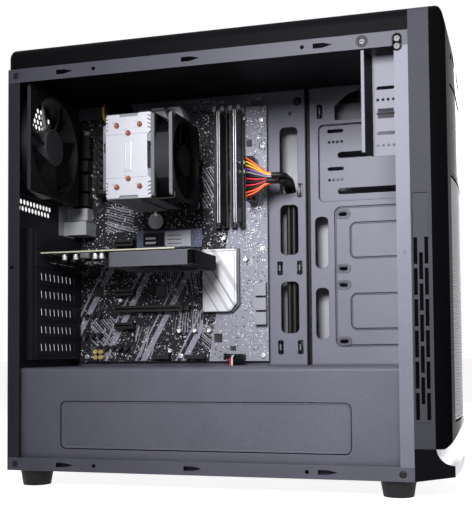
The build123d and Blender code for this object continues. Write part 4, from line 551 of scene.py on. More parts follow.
def make_board_print():
    """Black lacquer with a pale field along the front edge, slanted bars, copper lines and solder pads."""
    material, tree, shader = new_material("board_print", shine=0.08)
    grain = grained(tree, (24, 24, 28), 0.42, 0.2, 900, 0.08)
    light = grained(tree, (154, 154, 170), 0.46, 0.12, 500, 0.08)
    parts = axes(tree)

    def leaning(share):
        """Y with a share of the height added."""
        return add_math(tree, "ADD", parts["Y"], product(tree, parts["Z"], share))

    def bars(count, share):
        """Mask of slanted bars, from their number in a metre and how much of it they take up."""
        turn = add_math(tree, "FRACT", product(tree, slant, count))
        return add_math(tree, "LESS_THAN", turn, share)

    slant = leaning(0.55)
    field = add_math(tree, "LESS_THAN", leaning(0.16), 0.078)
    printed = product(tree, bars(19, 0.3), bars(76, 0.6), area(tree, 9, 171, 116, 236))
    colour = add_mix(tree, add_math(tree, "MAXIMUM", field, printed), grain["Colour"], light["Colour"])
    lines = use_group(tree, TRACES, Scale=90, Turn=0.6)["Mask"]
    colour = add_mix(tree, product(tree, lines, 0.3), colour, tone(96, 96, 106))
    for turn, *place in LINE_BUNDLES:
        bundle = use_group(tree, STRIPES, Turn=turn, Scale=320)["Mask"]
        colour = add_mix(tree, product(tree, bundle, area(tree, *place)), colour, tone(146, 146, 156))
    colour = add_mix(tree, product(tree, pads(tree, 330, 0.24, 0.75), field), colour, tone(34, 34, 38))
    marks = add_math(tree, "MAXIMUM", pads(tree, 400, 0.28, 0.78), pads(tree, 900, 0.26, 0.5))
    colour = add_mix(tree, marks, colour, tone(226, 226, 230))
    height = add_math(tree, "MAXIMUM", marks, lines)
    close_material(tree, shader, colour, grain["Roughness"], height, 0.4, 0.05)
    return material


# Plain fields on the small drive: rectangle and colour
STICK_FIELDS = (
    ((96, 124, 256, 272.5), (18, 18, 21)),
    *(((99, 113, low, low + 2.6), (196, 196, 202)) for low in (259.0, 264.5)),
    ((125, 158, 255, 274), (216, 218, 228)),
    *(((128, 146, low, low + 1.2), (120, 122, 134)) for low in (258.0, 263.0, 268.0)),
)


def make_stick_labels():
    """Small drive's board with solder pads, and with one dark and one pale label with bars."""
    material, tree, shader = new_material("stick_labels", shine=0.08)
    board = grained(tree, (104, 108, 134), 0.4, 0.2, 900, 0.1)
    colour = add_mix(tree, pads(tree, 700, 0.2, 0.7), board["Colour"], tone(200, 200, 206))
    for place, shade in STICK_FIELDS:
        colour = add_mix(tree, area(tree, *place), colour, tone(*shade))
    close_material(tree, shader, colour, board["Roughness"], board["Height"], 0.2, 0.05)
    return material


for make in (make_sink_bars, make_fan_grey, make_board_print, make_stick_labels):
    special = make()
    FINISH[special.name] = special

NODE_FINISH = {
    "steel_floor": ("bottom_pan",),
    "steel_roof": ("top_plate",),
    "steel_dark": ("rear_panel", "slot_covers", "psu_case"),
    "steel_column": ("front_plate",),
    "steel_tray": ("motherboard_tray",),
    "steel_shroud": ("psu_shroud",),
    "steel_bracket": ("bay_bracket",),
    "steel_panel": ("right_side_panel",),
    "steel_side": ("graphics_bracket",),
    "plastic_black": ("top_cover", "bezel_chin"),
    "plastic_bezel": ("front_bezel", "bay_covers"),
    "plastic_vent": ("bezel_vents",),
    "gloss_black": ("power_button", "reset_button"),
    "silver_mesh": ("front_mesh",),
    "silver_trim": ("chin_trim",),
    "foot_rubber": ("feet",),
    "screw_steel": ("case_screws", "panel_thumbscrews"),
    "screw_black": ("fan_screws", "fan_clips"),
    "brass_post": ("standoffs",),
    "board_print": ("motherboard",),
    "socket_metal": ("io_shield", "cpu_socket"),
    "port_metal": ("io_ports",),
    "sink_white": ("vrm_heatsinks", "chipset_heatsink"),
    "slot_black": ("memory_slots",),
    "module_black": ("memory_modules",),
    "latch_white": ("memory_latch_1", "memory_latch_3"),
    "connector_black": ("front_ports", "expansion_slots"),
    "header_black": ("board_connectors",),
    "stick_labels": ("m2_drive",),
    "chip_black": ("board_components",),
    "sink_dark": ("cooler_base",),
    "pipe_copper": ("heat_pipes",),
    "fin_metal": ("cooler_fins",),
    "plate_metal": ("cooler_top_plate",),
    "fan_grey": ("cooler_fan_frame",),
    "fan_dark": ("cooler_fan_rotor",),
    "fan_hub": ("rear_fan_rotor",),
    "fan_black": ("graphics_fan_rotor", "rear_fan_frame", "psu_fan_frame", "psu_fan_rotor"),
    "graphics_black": ("graphics_board",),
    "card_grey": ("graphics_cooler",),
    "inlet_black": ("psu_inlet", "psu_switch"),
    "cable_black": ("main_cable", "main_cable_wires", "cpu_cable", "panel_leads"),
}


def coat(piece, name):
    """Gives the whole piece one finish."""
    piece.data.materials.clear()
    piece.data.materials.append(FINISH[name])
    return piece


for finish_name, node_names in NODE_FINISH.items():
    for node_name in node_names:
        coat(nodes[node_name], finish_name)


# Modelling by hand: start shapes, selections, cuts and finishing
SMOOTH_ANGLE = math.radians(35)
SHARP_ANGLE = math.radians(40)


def mode(name):
    """Puts the active piece into a mode."""
    bpy.ops.object.mode_set(mode=name)


def rest():
    """Object mode with nothing selected, ready for the next operator."""
    if bpy.context.mode != "OBJECT":
        mode("OBJECT")
    bpy.ops.object.select_all(action="DESELECT")


def take(piece):
    """Selects one piece alone and makes it the active one."""
    rest()
    piece.select_set(True)
    bpy.context.view_layer.objects.active = piece


def take_all(piece):
    """Edit mode with all of a piece selected."""
    take(piece)
    mode("EDIT")
    bpy.ops.mesh.select_all(action="SELECT")


def started(name):
    """Names the primitive just added and puts its place into its mesh."""
    piece = bpy.context.object
    piece.name = name
    bpy.ops.object.transform_apply(location=True, rotation=True, scale=True)
    return piece


def shift(*offset):
    """Matrix of a move in mm."""
    return Matrix.Translation(Vector(offset) * mm)


def block(name, low, high):
    """Box between two corners, in mm."""
    rest()
    centre = [(first + last) / 2 * mm for first, last in zip(low, high)]
    size = [abs(last - first) * mm for first, last in zip(low, high)]
    bpy.ops.mesh.primitive_cube_add(size=1, location=centre, scale=size)
    return started(name)


def post(name, base, tip, radius, tip_radius=None, sides=24):
    """Round piece between two points, in mm, tapered where the tip has a radius of its own."""
    rest()
    line = Vector(tip) - Vector(base)
    bpy.ops.mesh.primitive_cone_add(
        vertices=sides,
        radius1=radius * mm,
        radius2=(radius if tip_radius is None else tip_radius) * mm,
        depth=line.length * mm,
        location=(Vector(base) + line / 2) * mm,
        rotation=line.to_track_quat("Z", "Y").to_euler(),
    )
    return started(name)


def sheet_cut(name, outline, near, far):
    """Flat piece with a (Y, Z) outline, from one X to another, in mm."""
    rest()
    bpy.ops.mesh.primitive_circle_add(vertices=len(outline), fill_type="NGON")
    piece = started(name)
    for vertex, (along, up) in zip(piece.data.vertices, outline):
        vertex.co = Vector((near, along, up)) * mm
    take_all(piece)
    bpy.ops.mesh.extrude_region_move(TRANSFORM_OT_translate={"value": ((far - near) * mm, 0, 0)})
    bpy.ops.mesh.select_all(action="SELECT")
    bpy.ops.mesh.normals_make_consistent(inside=False)
    mode("OBJECT")
    return piece


def near_side(middle, normal):
    """Faces that look to the open side of the case."""
    return normal.x < -0.9


def reshape(piece, test, operator, **values):
    """Runs an operator on the faces whose middle, in mm, and normal pass a test."""
    take(piece)
    mode("EDIT")
    bpy.ops.mesh.select_mode(type="FACE")
    bpy.ops.mesh.select_all(action="DESELECT")
    mode("OBJECT")
    for face in piece.data.polygons:
        face.select = test(face.center / mm, face.normal)
    mode("EDIT")
    operator(**values)
    mode("OBJECT")


def sink(piece, test, border, depth, each=False):
    """Draws faces in by a border and sinks them by a depth, in mm; a depth below zero raises them."""
    reshape(piece, test, bpy.ops.mesh.inset, thickness=border * mm, depth=-depth * mm, use_individual=each)


def soften(piece, width, segments=1):
    """Rounds the sharp edges by a width in mm."""
    take(piece)
    bevel = piece.modifiers.new("soft_edges", "BEVEL")
    bevel.width = width * mm
    bevel.segments = segments
    bevel.limit_method = "ANGLE"
    bevel.angle_limit = SHARP_ANGLE
    bpy.ops.object.modifier_apply(modifier=bevel.name)
    return piece


def cut(piece, tool):
    """Takes a closed shape out of a piece."""
    take(piece)
    shave = piece.modifiers.new("cut", "BOOLEAN")
    shave.operation = "DIFFERENCE"
    shave.object = tool
    bpy.ops.object.modifier_apply(modifier=shave.name)
    bpy.data.objects.remove(tool, do_unlink=True)
    return piece


def copy_to(piece, name, move):
    """Copy of a piece with its own mesh, moved by a matrix or by an offset in mm."""
    twin = piece.copy()
    twin.data = piece.data.copy()
    twin.name = name
    bpy.context.scene.collection.objects.link(twin)
    twin.data.transform(move if isinstance(move, Matrix) else shift(*move))
    return twin


def join(name, pieces):
    """Several pieces made one, each face keeping its material."""
    rest()
    for piece in pieces:
        piece.select_set(True)
    bpy.context.view_layer.objects.active = pieces[0]
    if len(pieces) > 1:
        bpy.ops.object.join()
    pieces[0].name = name
    return pieces[0]


def scatter(name, piece, moves):
    """One piece made of copies of a first one at several offsets, in mm, or matrices."""
    copies = [copy_to(piece, f"{name}_{number}", move) for number, move in enumerate(moves)]
    bpy.data.objects.remove(piece, do_unlink=True)
    return join(name, copies)


def claim(piece, slot, *replaced):
    """Puts a piece on the case's body and hides the CAD nodes that it stands for. The slot is not used."""
    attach(piece, BODY)
    if replaced:
        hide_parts(*replaced)


def fit(piece, slot, *replaced):
    """Shades a finished piece and names what it belongs to."""
    take(piece)
    bpy.ops.object.shade_smooth_by_angle(angle=SMOOTH_ANGLE)
    rest()
    claim(piece, slot, *replaced)


# Wires and cables, each on the route points of its CAD solid
def lay_curve(name, routes, radius, corners, steps):
    """Curve with one smooth round strand through each route's points, in mm, and its object."""
    curve = bpy.data.curves.new(name, "CURVE")
    curve.dimensions = "3D"
    curve.bevel_depth = radius * mm
    curve.bevel_resolution = corners
    curve.resolution_u = steps
    for route in routes:
        spline = curve.splines.new("NURBS")
        spline.points.add(len(route) - 1)
        for point, place in zip(spline.points, route):
            point.co = (*(Vector(place) * mm), 1)
        spline.order_u = 3
        spline.use_endpoint_u = True
    piece = bpy.data.objects.new(name, curve)
    bpy.context.scene.collection.objects.link(piece)
    return curve, piece


def lay_wires(name, routes, radius, colours, *replaced):
    """Bunch of wires, each on its own route and in its own colour."""
    curve, piece = lay_curve(name, routes, radius, corners=2, steps=10)
    curve.use_fill_caps = True
    shades = sorted(set(colours))
    for shade in shades:
        curve.materials.append(WIRE[shade])
    for spline, shade in zip(curve.splines, colours):
        spline.material_index = shades.index(shade)
    claim(piece, "cable_black", *replaced)


CORNERS = ((1, 1, 1), (1, -1, -1), (-1, 1, -1), (-1, -1, 1))


def strands(route, spread):
    """Four routes side by side around one route, a spread apart from it in each direction."""
    return [[Vector(place) + Vector(corner) * spread for place in route] for corner in CORNERS]


MAIN_ROUTE = [
    (31, -28, 343), (31, -42, 343), (45, -42, 343), (84.8, -42, 343), (84.8, -42, 289), (84.8, -42, 167),
    (84.8, -42, 93), (84.8, -5, 93), (84.8, 32, 93), (48, 32, 93), (48, 95.2, 93),
]
CPU_ROUTE = [
    (37, 177, 428), (28, 177, 428), (28, 177, 447), (47, 177, 447), (84.8, 177, 447), (84.8, 177, 390),
    (84.8, 177, 186), (84.8, 177, 70), (84.8, 61, 70), (48, 61, 70), (48, 95.2, 70),
]
PANEL_ROUTE = [
    (45.5, 22, 137.5), (38, 22, 137.5), (38, 22, 130), (38, 22, 61), (83.6, 22, 61), (83.6, -24, 61),
    (83.6, -212, 61), (83.6, -212, 436), (83.6, -224.4, 436),
]
# Wires of the main plug: each row's Y, the X of its first bend, and its colours
MAIN_ROWS = (
    (1.1, 27.0, "orange orange black red black red black grey purple yellow yellow orange".split()),
    (-3.1, 30.0, "orange blue black green black black black white red red red black".split()),
)
PLUG_MIDDLE, PLUG_PITCH = 346, 4.2
BUNDLE_X, BUNDLE_STEP, BUNDLE_MIDDLE = 30, 2.4, 343
# What is left of a wire's distance from the plug's middle on the way and in the bundle
WAY_SHARE, BUNDLE_SHARE = 0.72, 0.2


def main_wire_routes():
    """Coloured wires that leave the plug's two rows and draw together into the bundle."""
    routes, colours = [], []
    for row, (row_y, bend_x, shades) in enumerate(MAIN_ROWS):
        bundle_x = BUNDLE_X + row * BUNDLE_STEP
        for number, shade in enumerate(shades):
            off = PLUG_PITCH * (number - (len(shades) - 1) / 2)
            height, gathered = PLUG_MIDDLE + off, BUNDLE_MIDDLE + off * BUNDLE_SHARE
            routes.append([
                (39, row_y, height),
                (bend_x, row_y, height),
                (bend_x - 1, -13, BUNDLE_MIDDLE + off * WAY_SHARE),
                (bundle_x, -26, gathered),
                (bundle_x, -38, gathered),
            ])
            colours.append(shade)
    return routes, colours


MOUTH_WALL, MOUTH_DEPTH = 0.7, 1.6
CLIP_RISE, CLIP_HALF = 1.6, 4


def make_plug(name, low, high, columns, rows, latch_side, *replaced):
    """Plug body with one square mouth for each wire and a clip on its side."""
    body = block(name, low, high)
    reshape(body, near_side, bpy.ops.mesh.delete, type="FACE")
    rest()
    width, height = high[1] - low[1], high[2] - low[2]
    middle = (low[2] + high[2]) / 2
    bpy.ops.mesh.primitive_grid_add(
        x_subdivisions=columns,
        y_subdivisions=rows,
        size=1,
        location=(low[0] * mm, (low[1] + high[1]) / 2 * mm, middle * mm),
        rotation=(math.pi / 2, 0, -math.pi / 2),
    )
    bpy.context.object.scale = (width * mm, height * mm, 1)
    face = started(name + "_mouths")
    sink(face, lambda middle, normal: True, MOUTH_WALL, MOUTH_DEPTH, each=True)
    body = join(name, [body, face])
    take_all(body)
    bpy.ops.mesh.remove_doubles(threshold=0.01 * mm)
    bpy.ops.mesh.normals_make_consistent(inside=False)
    mode("OBJECT")
    side_y = low[1] if latch_side < 0 else high[1]
    near_y, far_y = sorted((side_y, side_y + latch_side * CLIP_RISE))
    clip = block(
        name + "_clip", (low[0] - 1, near_y, middle - CLIP_HALF), (high[0] - 2, far_y, middle + CLIP_HALF),
    )
    soften(clip, 0.5, 2)
    fit(coat(join(name, [body, clip]), "connector_black"), "connector_black", *replaced)


def make_cables():
    """Main cable, processor cable and front panel leads, with their plugs."""
    routes, colours = main_wire_routes()
    lay_wires("main_wires", routes, 1.15, colours, "main_cable_wires", "main_cable")
    lay_wires("main_bundle", strands(MAIN_ROUTE, 3.0), 3.2, ["black"] * 4, "main_cable")
    make_plug("main_plug", (37, -6, 320), (49, 4, 372), 2, 12, -1, "main_cable")
    lay_wires("cpu_wires", strands(CPU_ROUTE, 1.6), 1.5, "yellow black yellow black".split(), "cpu_cable")
    make_plug("cpu_plug", (37, 168, 423), (49, 186, 433), 4, 2, 1, "cpu_cable")
    lay_wires("panel_wires", strands(PANEL_ROUTE, 1.2), 1.1, "black black red white".split(), "panel_leads")
    make_plug("panel_plug", (45.5, 12, 134.5), (53.5, 32, 140.5), 8, 2, 1, "panel_leads")


# Processor cooler's top plate, with saw-toothed sides, notched ends and a waist between two creases
COOLER_Y, COOLER_Z = 106, 358
PLATE_FACE, PLATE_BACK = -69.0, -67.6


def plate_outline():
    """Outline of the top plate about the cooler's axis: half of it, then its mirror image."""
    half = [(-22.0, 22.0), (-26.5, 27.0)]
    for tooth in range(4):
        low = 28.2 + 4.3 * tooth
        half += [(-26.5, low), (-22.2, low + 1.9), (-22.2, low + 3.1), (-26.5, low + 1.7)]
    half += [(-26.5, 45.4), (-25.0, 47.0), (-12.0, 47.0), (-10.6, 43.4)]
    half += [(10.2, 43.4), (11.4, 46.2), (24.0, 46.2), (26.5, 43.6)]
    for tooth in range(3, -1, -1):
        low = 28.2 + 4.0 * tooth
        half += [(26.5, low + 1.4), (23.8, low + 2.2), (23.8, low + 1.2), (26.5, low)]
    half += [(26.5, 25.0)]
    return half + [(along, -up) for along, up in reversed(half)]


def make_cooler_plate():
    """Bright plate over the fins, with the pipes' slits, a raised field and a slanted rear flange."""
    outline = [(COOLER_Y + along, COOLER_Z + up) for along, up in plate_outline()]
    plate = sheet_cut("cooler_plate", outline, PLATE_FACE, PLATE_BACK)
    for side in (-1, 1):
        crease = COOLER_Z + side * 24.0
        cut(plate, block("crease", (-69.5, 80, crease - 0.3), (-68.5, 133, crease + 0.3)))
        for along, up in ((13.5, 34), (-13.5, 34), (0, 25)):
            for end in (-1, 1):
                slit = block("slit", (-69.5, -0.4, -1.6), (-68.4, 0.4, 1.6))
                spot = shift(0, COOLER_Y + along + 4.4, COOLER_Z + side * up + end * 3.4)
                slit.data.transform(spot @ Matrix.Rotation(end * 0.9, 4, "X"))
                cut(plate, slit)
    soften(plate, 0.25)
    field = block("plate_field", (-69.7, 102.5, 341), (-68.8, 110.5, 375))
    soften(field, 0.35, 2)
    sink(field, near_side, 1.2, 0.4)
    flange = block("plate_flange", (PLATE_FACE, 132.0, 322), (PLATE_BACK, 138.5, 394))
    slope = (5.5 * mm, 0, 0)
    reshape(flange, lambda middle, normal: normal.y > 0.9, bpy.ops.transform.translate, value=slope)
    hole = block("flange_hole", (-72, 134.0, 364), (-58, 136.8, 374))
    soften(flange, 0.25)
    cut(flange, hole)
    fit(coat(join("cooler_plate", [plate, field, flange]), "plate_metal"), "fin_metal", "cooler_top_plate")


PIPE_RADIUS, PIPE_TIP_RADIUS = 3.0, 1.3
PIPE_END, PIPE_TIP, PIPE_BEND = -70.4, -72.6, 49.5


def make_pipes():
    """Three bent heat pipes whose six closed ends come through the plate, drawn to a small creased nipple."""
    routes, tips = [], []
    for along, half in ((92.5, 34), (106, 25), (119.5, 34)):
        low, high = COOLER_Z - half, COOLER_Z + half
        down = [(PIPE_END, low), (-20, low), (30, low), (PIPE_BEND, low), (PIPE_BEND, low + 18)]
        back = [(PIPE_BEND, high - 18), (PIPE_BEND, high), (30, high), (-20, high), (PIPE_END, high)]
        routes.append([(deep, along, up) for deep, up in down + back])
        for up in (low, high):
            ends = (PIPE_END, along, up), (PIPE_TIP, along, up)
            tip = post("pipe_tip", *ends, PIPE_RADIUS, PIPE_TIP_RADIUS, sides=20)
            sink(tip, near_side, 0.35, -0.9)
            soften(tip, 0.3, 2)
            crease = block("crease", (-74, along - 0.3, up - 1.6), (-72.4, along + 0.3, up + 1.6))
            tips.append(cut(tip, crease))
    curve, runs = lay_curve("pipe_runs", routes, PIPE_RADIUS, corners=5, steps=16)
    curve.materials.append(FINISH["pipe_copper"])
    claim(runs, "pipe_copper", "heat_pipes")
    fit(coat(join("pipe_tips", tips), "pipe_copper"), "pipe_copper", "heat_pipes")


# Painted highlights on the memory modules' upper edges: pale metal strips along their heat spreaders
def make_module_edges():
    """Two pale strips along each module's upper edge, with a notch row, as painted highlights."""
    edges = []
    for middle in (13, 33):
        for side in (-1, 1):
            along = middle + side * 1.25
            strip = block("edge", (27.5, along - 0.45, 293.4), (28.4, along + 0.45, 425.6))
            for low in range(310, 407, 24):
                cut(strip, block("notch", (27, along - 1, low), (28, along + 1, low + 5)))
            edges.append(soften(strip, 0.12))
    fit(coat(join("module_highlights", edges), "socket_metal"), "module_black")


# Heat sinks of the board
def make_regulator_sinks():
    """Pale sink above the processor, with pointed ribs, and a black one behind it with slanted grooves."""
    ribs = []
    for start in (80.4, 101.2):
        outline = [
            (start + 2, 437), (start + 18, 437), (start + 15, 433), (start - 3.2, 423), (start - 1, 430),
        ]
        ribs.append(soften(sheet_cut("upper_rib", outline, 32.5, 60), 0.6, 2))
    ribs.append(soften(block("upper_bar", (36, 121.5, 430), (60, 137, 436.8)), 2.0, 3))
    ribs.append(soften(block("upper_base", (52, 86, 425), (62, 137, 436.6)), 0.8, 2))
    rear = sheet_cut("rear_sink", [(176, 335), (194, 335), (194, 413), (176, 413)], 40, 62)
    sink(rear, near_side, 2.5, -4)
    slope = Matrix.Rotation(math.radians(24), 4, "X")
    for number in range(7):
        low = 343 + 9.4 * number
        groove = block("groove", (30, 170, low), (52, 200, low + 2.2))
        groove.data.transform(shift(0, 185, low) @ slope @ shift(0, -185, -low))
        cut(rear, groove)
    coat(soften(rear, 0.5, 2), "sink_black")
    for rib in ribs:
        coat(rib, "sink_white")
    fit(join("regulator_sinks", ribs + [rear]), "sink_white", "vrm_heatsinks")


def make_controller_sink():
    """Pale heat sink with one cut corner and a sunk field, on a darker base."""
    outline = [(63, 190), (63, 267), (17, 267), (17, 199), (26, 190)]
    base = soften(sheet_cut("controller_base", outline, 58, 62), 0.4)
    coat(base, "sink_dark")
    outline = [(62, 191), (62, 266), (19.5, 266), (19.5, 200.5), (28, 191)]
    face = soften(sheet_cut("controller_face", outline, 53.2, 58), 0.9, 3)
    sink(face, near_side, 2.2, 0.3)
    coat(face, "sink_bars")
    fit(join("controller_sink", [base, face]), "sink_white", "chipset_heatsink")


# Parts on the board: cans, coils, chips, battery and small soldered parts
def top_middle(middle, normal):
    """Face in the middle of a can's top."""
    return near_side(middle, normal) and middle.y ** 2 + middle.z ** 2 < 0.1


def make_can(name, radius, height, material):
    """Round capacitor with a rim, a raised middle and a foot, standing on the board's face at the origin."""
    can = post(name, (BOARD_FACE, 0, 0), (lifted(height), 0, 0), radius, sides=20)
    sink(can, near_side, radius * 0.14, 0.25)
    sink(can, top_middle, radius * 0.55, -0.15)
    soften(can, 0.25, 2)
    foot = post(name + "_foot", (BOARD_FACE, 0, 0), (lifted(1.2), 0, 0), radius * 1.12, sides=20)
    soften(foot, 0.2)
    return join(name, [coat(can, material), coat(foot, "connector_black")])


def make_coil(name):
    """Square coil with rounded edges, a sunk top and a metal foot that shows at both ends."""
    coil = soften(block(name, (lifted(7), 0, 0), (lifted(0.4), 11, 11)), 0.9, 2)
    sink(coil, near_side, 1.4, 0.35)
    feet = block(name + "_foot", (lifted(0.8), -0.6, 2.5), (BOARD_FACE, 11.6, 8.5))
    return join(name, [coat(coil, "ferrite_grey"), coat(soften(feet, 0.2), "solder_bright")])


PIN_PITCH = 1.1


def make_chip(name, rear, front, low, high, tall):
    """Flat chip with a sunk top and a row of pins along two of its sides."""
    near, far = ahead(front), ahead(rear)
    body = block(name, (lifted(tall), near, above(low)), (lifted(0.3), far, above(high)))
    soften(body, 0.25)
    sink(body, near_side, 0.6, 0.12)
    coat(body, "chip_black")
    pin = block("pin", (lifted(0.5), -0.7, -0.22), (BOARD_FACE, 0.7, 0.22))
    reshape(pin, near_side, bpy.ops.transform.resize, value=(1, 0.5, 0.8))
    coat(pin, "solder_bright")
    count = int((high - low - 1.2) / PIN_PITCH)
    rows = [(0, edge, above(low) + 0.9 + PIN_PITCH * step) for edge in (near, far) for step in range(count)]
    return join(name, [body, scatter(name + "_pins", pin, rows)])


def make_battery():
    """Round clock cell in its holder, with a sunk rim and a spring clip."""
    centre = (ahead(113), above(287))
    along, up = centre
    holder = post("battery_holder", (BOARD_FACE, *centre), (lifted(3.2), *centre), 11.5, sides=40)
    sink(holder, near_side, 1.4, 1.0)
    coat(soften(holder, 0.3), "connector_black")
    cell = post("battery_cell", (lifted(1.5), *centre), (lifted(4.9), *centre), 10, sides=40)
    sink(cell, near_side, 1.2, 0.25)
    coat(soften(cell, 0.3, 2), "cell_metal")
    clip = block("battery_clip", (lifted(5.0), along - 2, up + 6), (lifted(1), along + 2, up + 11.4))
    coat(soften(clip, 0.4, 2), "solder_bright")
    return join("battery", [holder, cell, clip])


CAP_SHARE, CAP_RISE = 0.24, 0.05


def make_small_part(name, length, width, tall, body):
    """Soldered part with two metal ends, lying along Y on the board's face at the origin."""
    part = block(name, (lifted(tall), -length / 2, -width / 2), (BOARD_FACE, length / 2, width / 2))
    pieces = [coat(soften(part, 0.08), body)]
    for side in (-1, 1):
        edge = side * length / 2
        low, high = sorted((edge - side * length * CAP_SHARE, edge + side * CAP_RISE))
        half = width / 2 + CAP_RISE
        cap = block(name + "_end", (lifted(tall + CAP_RISE), low, -half), (BOARD_FACE, high, half))
        pieces.append(coat(cap, "solder_bright"))
    return join(name, pieces)


# Rectangles that larger parts cover, from the rear wall and the floor: rear, front, low, high
TAKEN = (
    (9, 66, 250, 430), (78, 182, 296, 420), (170, 222, 170, 252), (90, 174, 252, 277), (58, 158, 240, 252),
    (58, 158, 178, 192), (58, 88, 158, 172), (58, 88, 198, 212), (58, 88, 258, 274), (189, 228, 270, 420),
    (230, 244, 300, 358), (236, 254, 155, 228), (108, 130, 116, 126), (150, 176, 116, 126),
    (203, 225, 116, 126), (95, 131, 280, 302), (110, 128, 192, 210), (18, 46, 140, 178),
)
# Distance that small parts keep from them
CLEAR = 1.5


def open_spots(rng, count, rear, front, low, high):
    """Chosen spots on the board that no larger part covers."""
    spots = []
    while len(spots) < count:
        distance, height = rng.uniform(rear, front), rng.uniform(low, high)
        if not any(
            near - CLEAR < distance < far + CLEAR and base - CLEAR < height < top + CLEAR
            for near, far, base, top in TAKEN
        ):
            spots.append((distance, height))
    return spots


# Capacitors: radius, height, finish, and their distances from the rear wall and heights above the floor
CANS = {
    "tall_can": (3.2, 9, "can_silver", [(90, height) for height in range(310, 371, 15)]),
    "low_can": (3.2, 7, "chip_black", [(distance, 132) for distance in range(38, 75, 9)]),
    "gold_can": (2.7, 9, "can_gold", [(34, 127.5), (41, 127.5), (34, 120.6), (41, 120.6)]),
    "dark_can": (3.2, 9, "chip_black", [(20, 148), (29, 148), (38, 148)]),
    "small_can": (2.8, 8, "chip_black", [(20, 172), (29, 172), (38, 172)]),
    "edge_can": (2.3, 6.5, "can_silver", [
        (226, 405), (226, 352), (226, 341), (143, 152), (163, 152), (181, 152), (227, 236), (131, 128),
        (200, 262), (66.4, 190.6), (138, 304),
    ]),
}
COILS = [(110 + 16 * step, 389) for step in range(4)] + [(81, 318 + 17 * step) for step in range(4)]
# Chips: rear, front, low, high, and how tall they stand
CHIPS = {
    "sound_chip": (28, 38, 222, 230, 1.5),
    "control_chip": (112, 126, 194, 208, 1.5),
    "network_chip": (30, 42, 196, 208, 1.5),
    "clock_chip": (186, 196, 138, 148, 1.5),
    "memory_chip": (206, 213, 128, 133, 1.4),
    "supply_chip": (228, 235, 372, 380, 1.4),
}
# Small parts: length, width, height, finish and share of all; then how many lie in which rectangle
SMALL_PARTS = {
    "resistor": (2.0, 1.25, 0.6, "chip_black", 3),
    "ceramic": (1.6, 0.8, 0.8, "ceramic_tan", 2),
    "diode": (3.4, 1.8, 1.2, "ferrite_grey", 1),
}
SMALL_AREAS = (
    (90, 14, 250, 118, 250), (110, 226, 250, 120, 432), (60, 66, 170, 118, 300), (60, 10, 60, 200, 250),
    (40, 180, 236, 225, 300), (50, 90, 200, 420, 432),
)


def board_spots(spots):
    """Offsets on the board from distances ahead of the rear wall and heights above the floor."""
    return [(0, ahead(distance), above(height)) for distance, height in spots]


def fit_board(name, pieces):
    """Joins pieces that stand for some of the CAD's parts on the board."""
    fit(join(name, pieces), "component_grey", "board_components")


def make_board_parts():
    """All parts that stand on the board, in four joined pieces."""
    fit_board("board_cans", [
        scatter(name + "s", make_can(name, *kind), board_spots(spots))
        for name, (*kind, spots) in CANS.items()
    ])
    fit_board("board_coils", [scatter("board_coils", make_coil("coil"), board_spots(COILS))])
    fit_board("board_chips", [*(make_chip(name, *sizes) for name, sizes in CHIPS.items()), make_battery()])
    rng = Random(11)
    kinds = [make_small_part(name, *sizes) for name, (*sizes, share) in SMALL_PARTS.items()]
    lots = [number for number, (*sizes, share) in enumerate(SMALL_PARTS.values()) for _ in range(share)]
    moves = [[] for kind in kinds]
    for count, *region in SMALL_AREAS:
        for distance, height in open_spots(rng, count, *region):
            number = rng.choice(lots)
            turn = Matrix.Rotation(rng.choice((0, math.pi / 2)), 4, "X")
            moves[number].append(shift(0, ahead(distance), above(height)) @ turn)
    fit_board("board_small_parts", [
        scatter(f"small_parts_{number}", kind, moves[number]) for number, kind in enumerate(kinds)
    ])


# Screws with a cross slot, at the places of the CAD screws
SCREW_HEAD, SCREW_RISE, SCREW_SHANK, SCREW_LENGTH = 3.25, 2.0, 1.65, 5
SLOT_LONG, SLOT_WIDE, SLOT_DEEP = 1.9, 0.42, 1.1
# Square of a distance from a screw's axis that only its head reaches
HEAD_ONLY = 7


def shells(node):
    """Corner points of each closed shell of a CAD node, in mm, from a copy whose triangles are merged."""
    take_all(copy_to(node, "shells", Matrix()))
    bpy.ops.mesh.remove_doubles(threshold=0.001 * mm)
    bpy.ops.mesh.separate(type="LOOSE")
    mode("OBJECT")
    found = []
    for part in list(bpy.context.selected_objects):
        found.append([vertex.co / mm for vertex in part.data.vertices])
        bpy.data.objects.remove(part, do_unlink=True)
    return found


def screw_seat(points):
    """Top of a screw's head and the direction that it looks to, from the screw's corner points."""
    low = Vector([min(point[axis] for point in points) for axis in range(3)])
    high = Vector([max(point[axis] for point in points) for axis in range(3)])
    size = high - low
    along = min(range(3), key=lambda axis: abs(size[axis - 1] - size[axis - 2]))
    middle = (low + high) / 2
    wide = [
        point[along] for point in points
        if (point - middle).length_squared - (point - middle)[along] ** 2 > HEAD_ONLY
    ]
    up = sum(wide) / len(wide) > middle[along]
    seat, direction = middle.copy(), Vector((0, 0, 0))
    seat[along] = high[along] if up else low[along]
    direction[along] = 1 if up else -1
    return seat, direction


def make_screw(name, material):
    """Pan-head screw along Z with a cross slot, the top of its head at the origin."""
    head = post(name, (0, 0, -SCREW_RISE), (0, 0, 0), SCREW_HEAD, sides=20)
    rounding = dict(offset=0.8 * mm, segments=3, affect="EDGES")
    reshape(head, lambda middle, normal: normal.z > 0.9, bpy.ops.mesh.bevel, **rounding)
    for long, wide in ((SLOT_LONG, SLOT_WIDE), (SLOT_WIDE, SLOT_LONG)):
        cut(head, block("slot", (-long, -wide, -SLOT_DEEP), (long, wide, 1)))
    end = (0, 0, -SCREW_RISE - SCREW_LENGTH)
    shank = post(name + "_shank", end, (0, 0, -SCREW_RISE), SCREW_SHANK, sides=10)
    sink(shank, lambda middle, normal: normal.z < -0.9, 0.4, -0.3)
    return coat(join(name, [head, shank]), material)


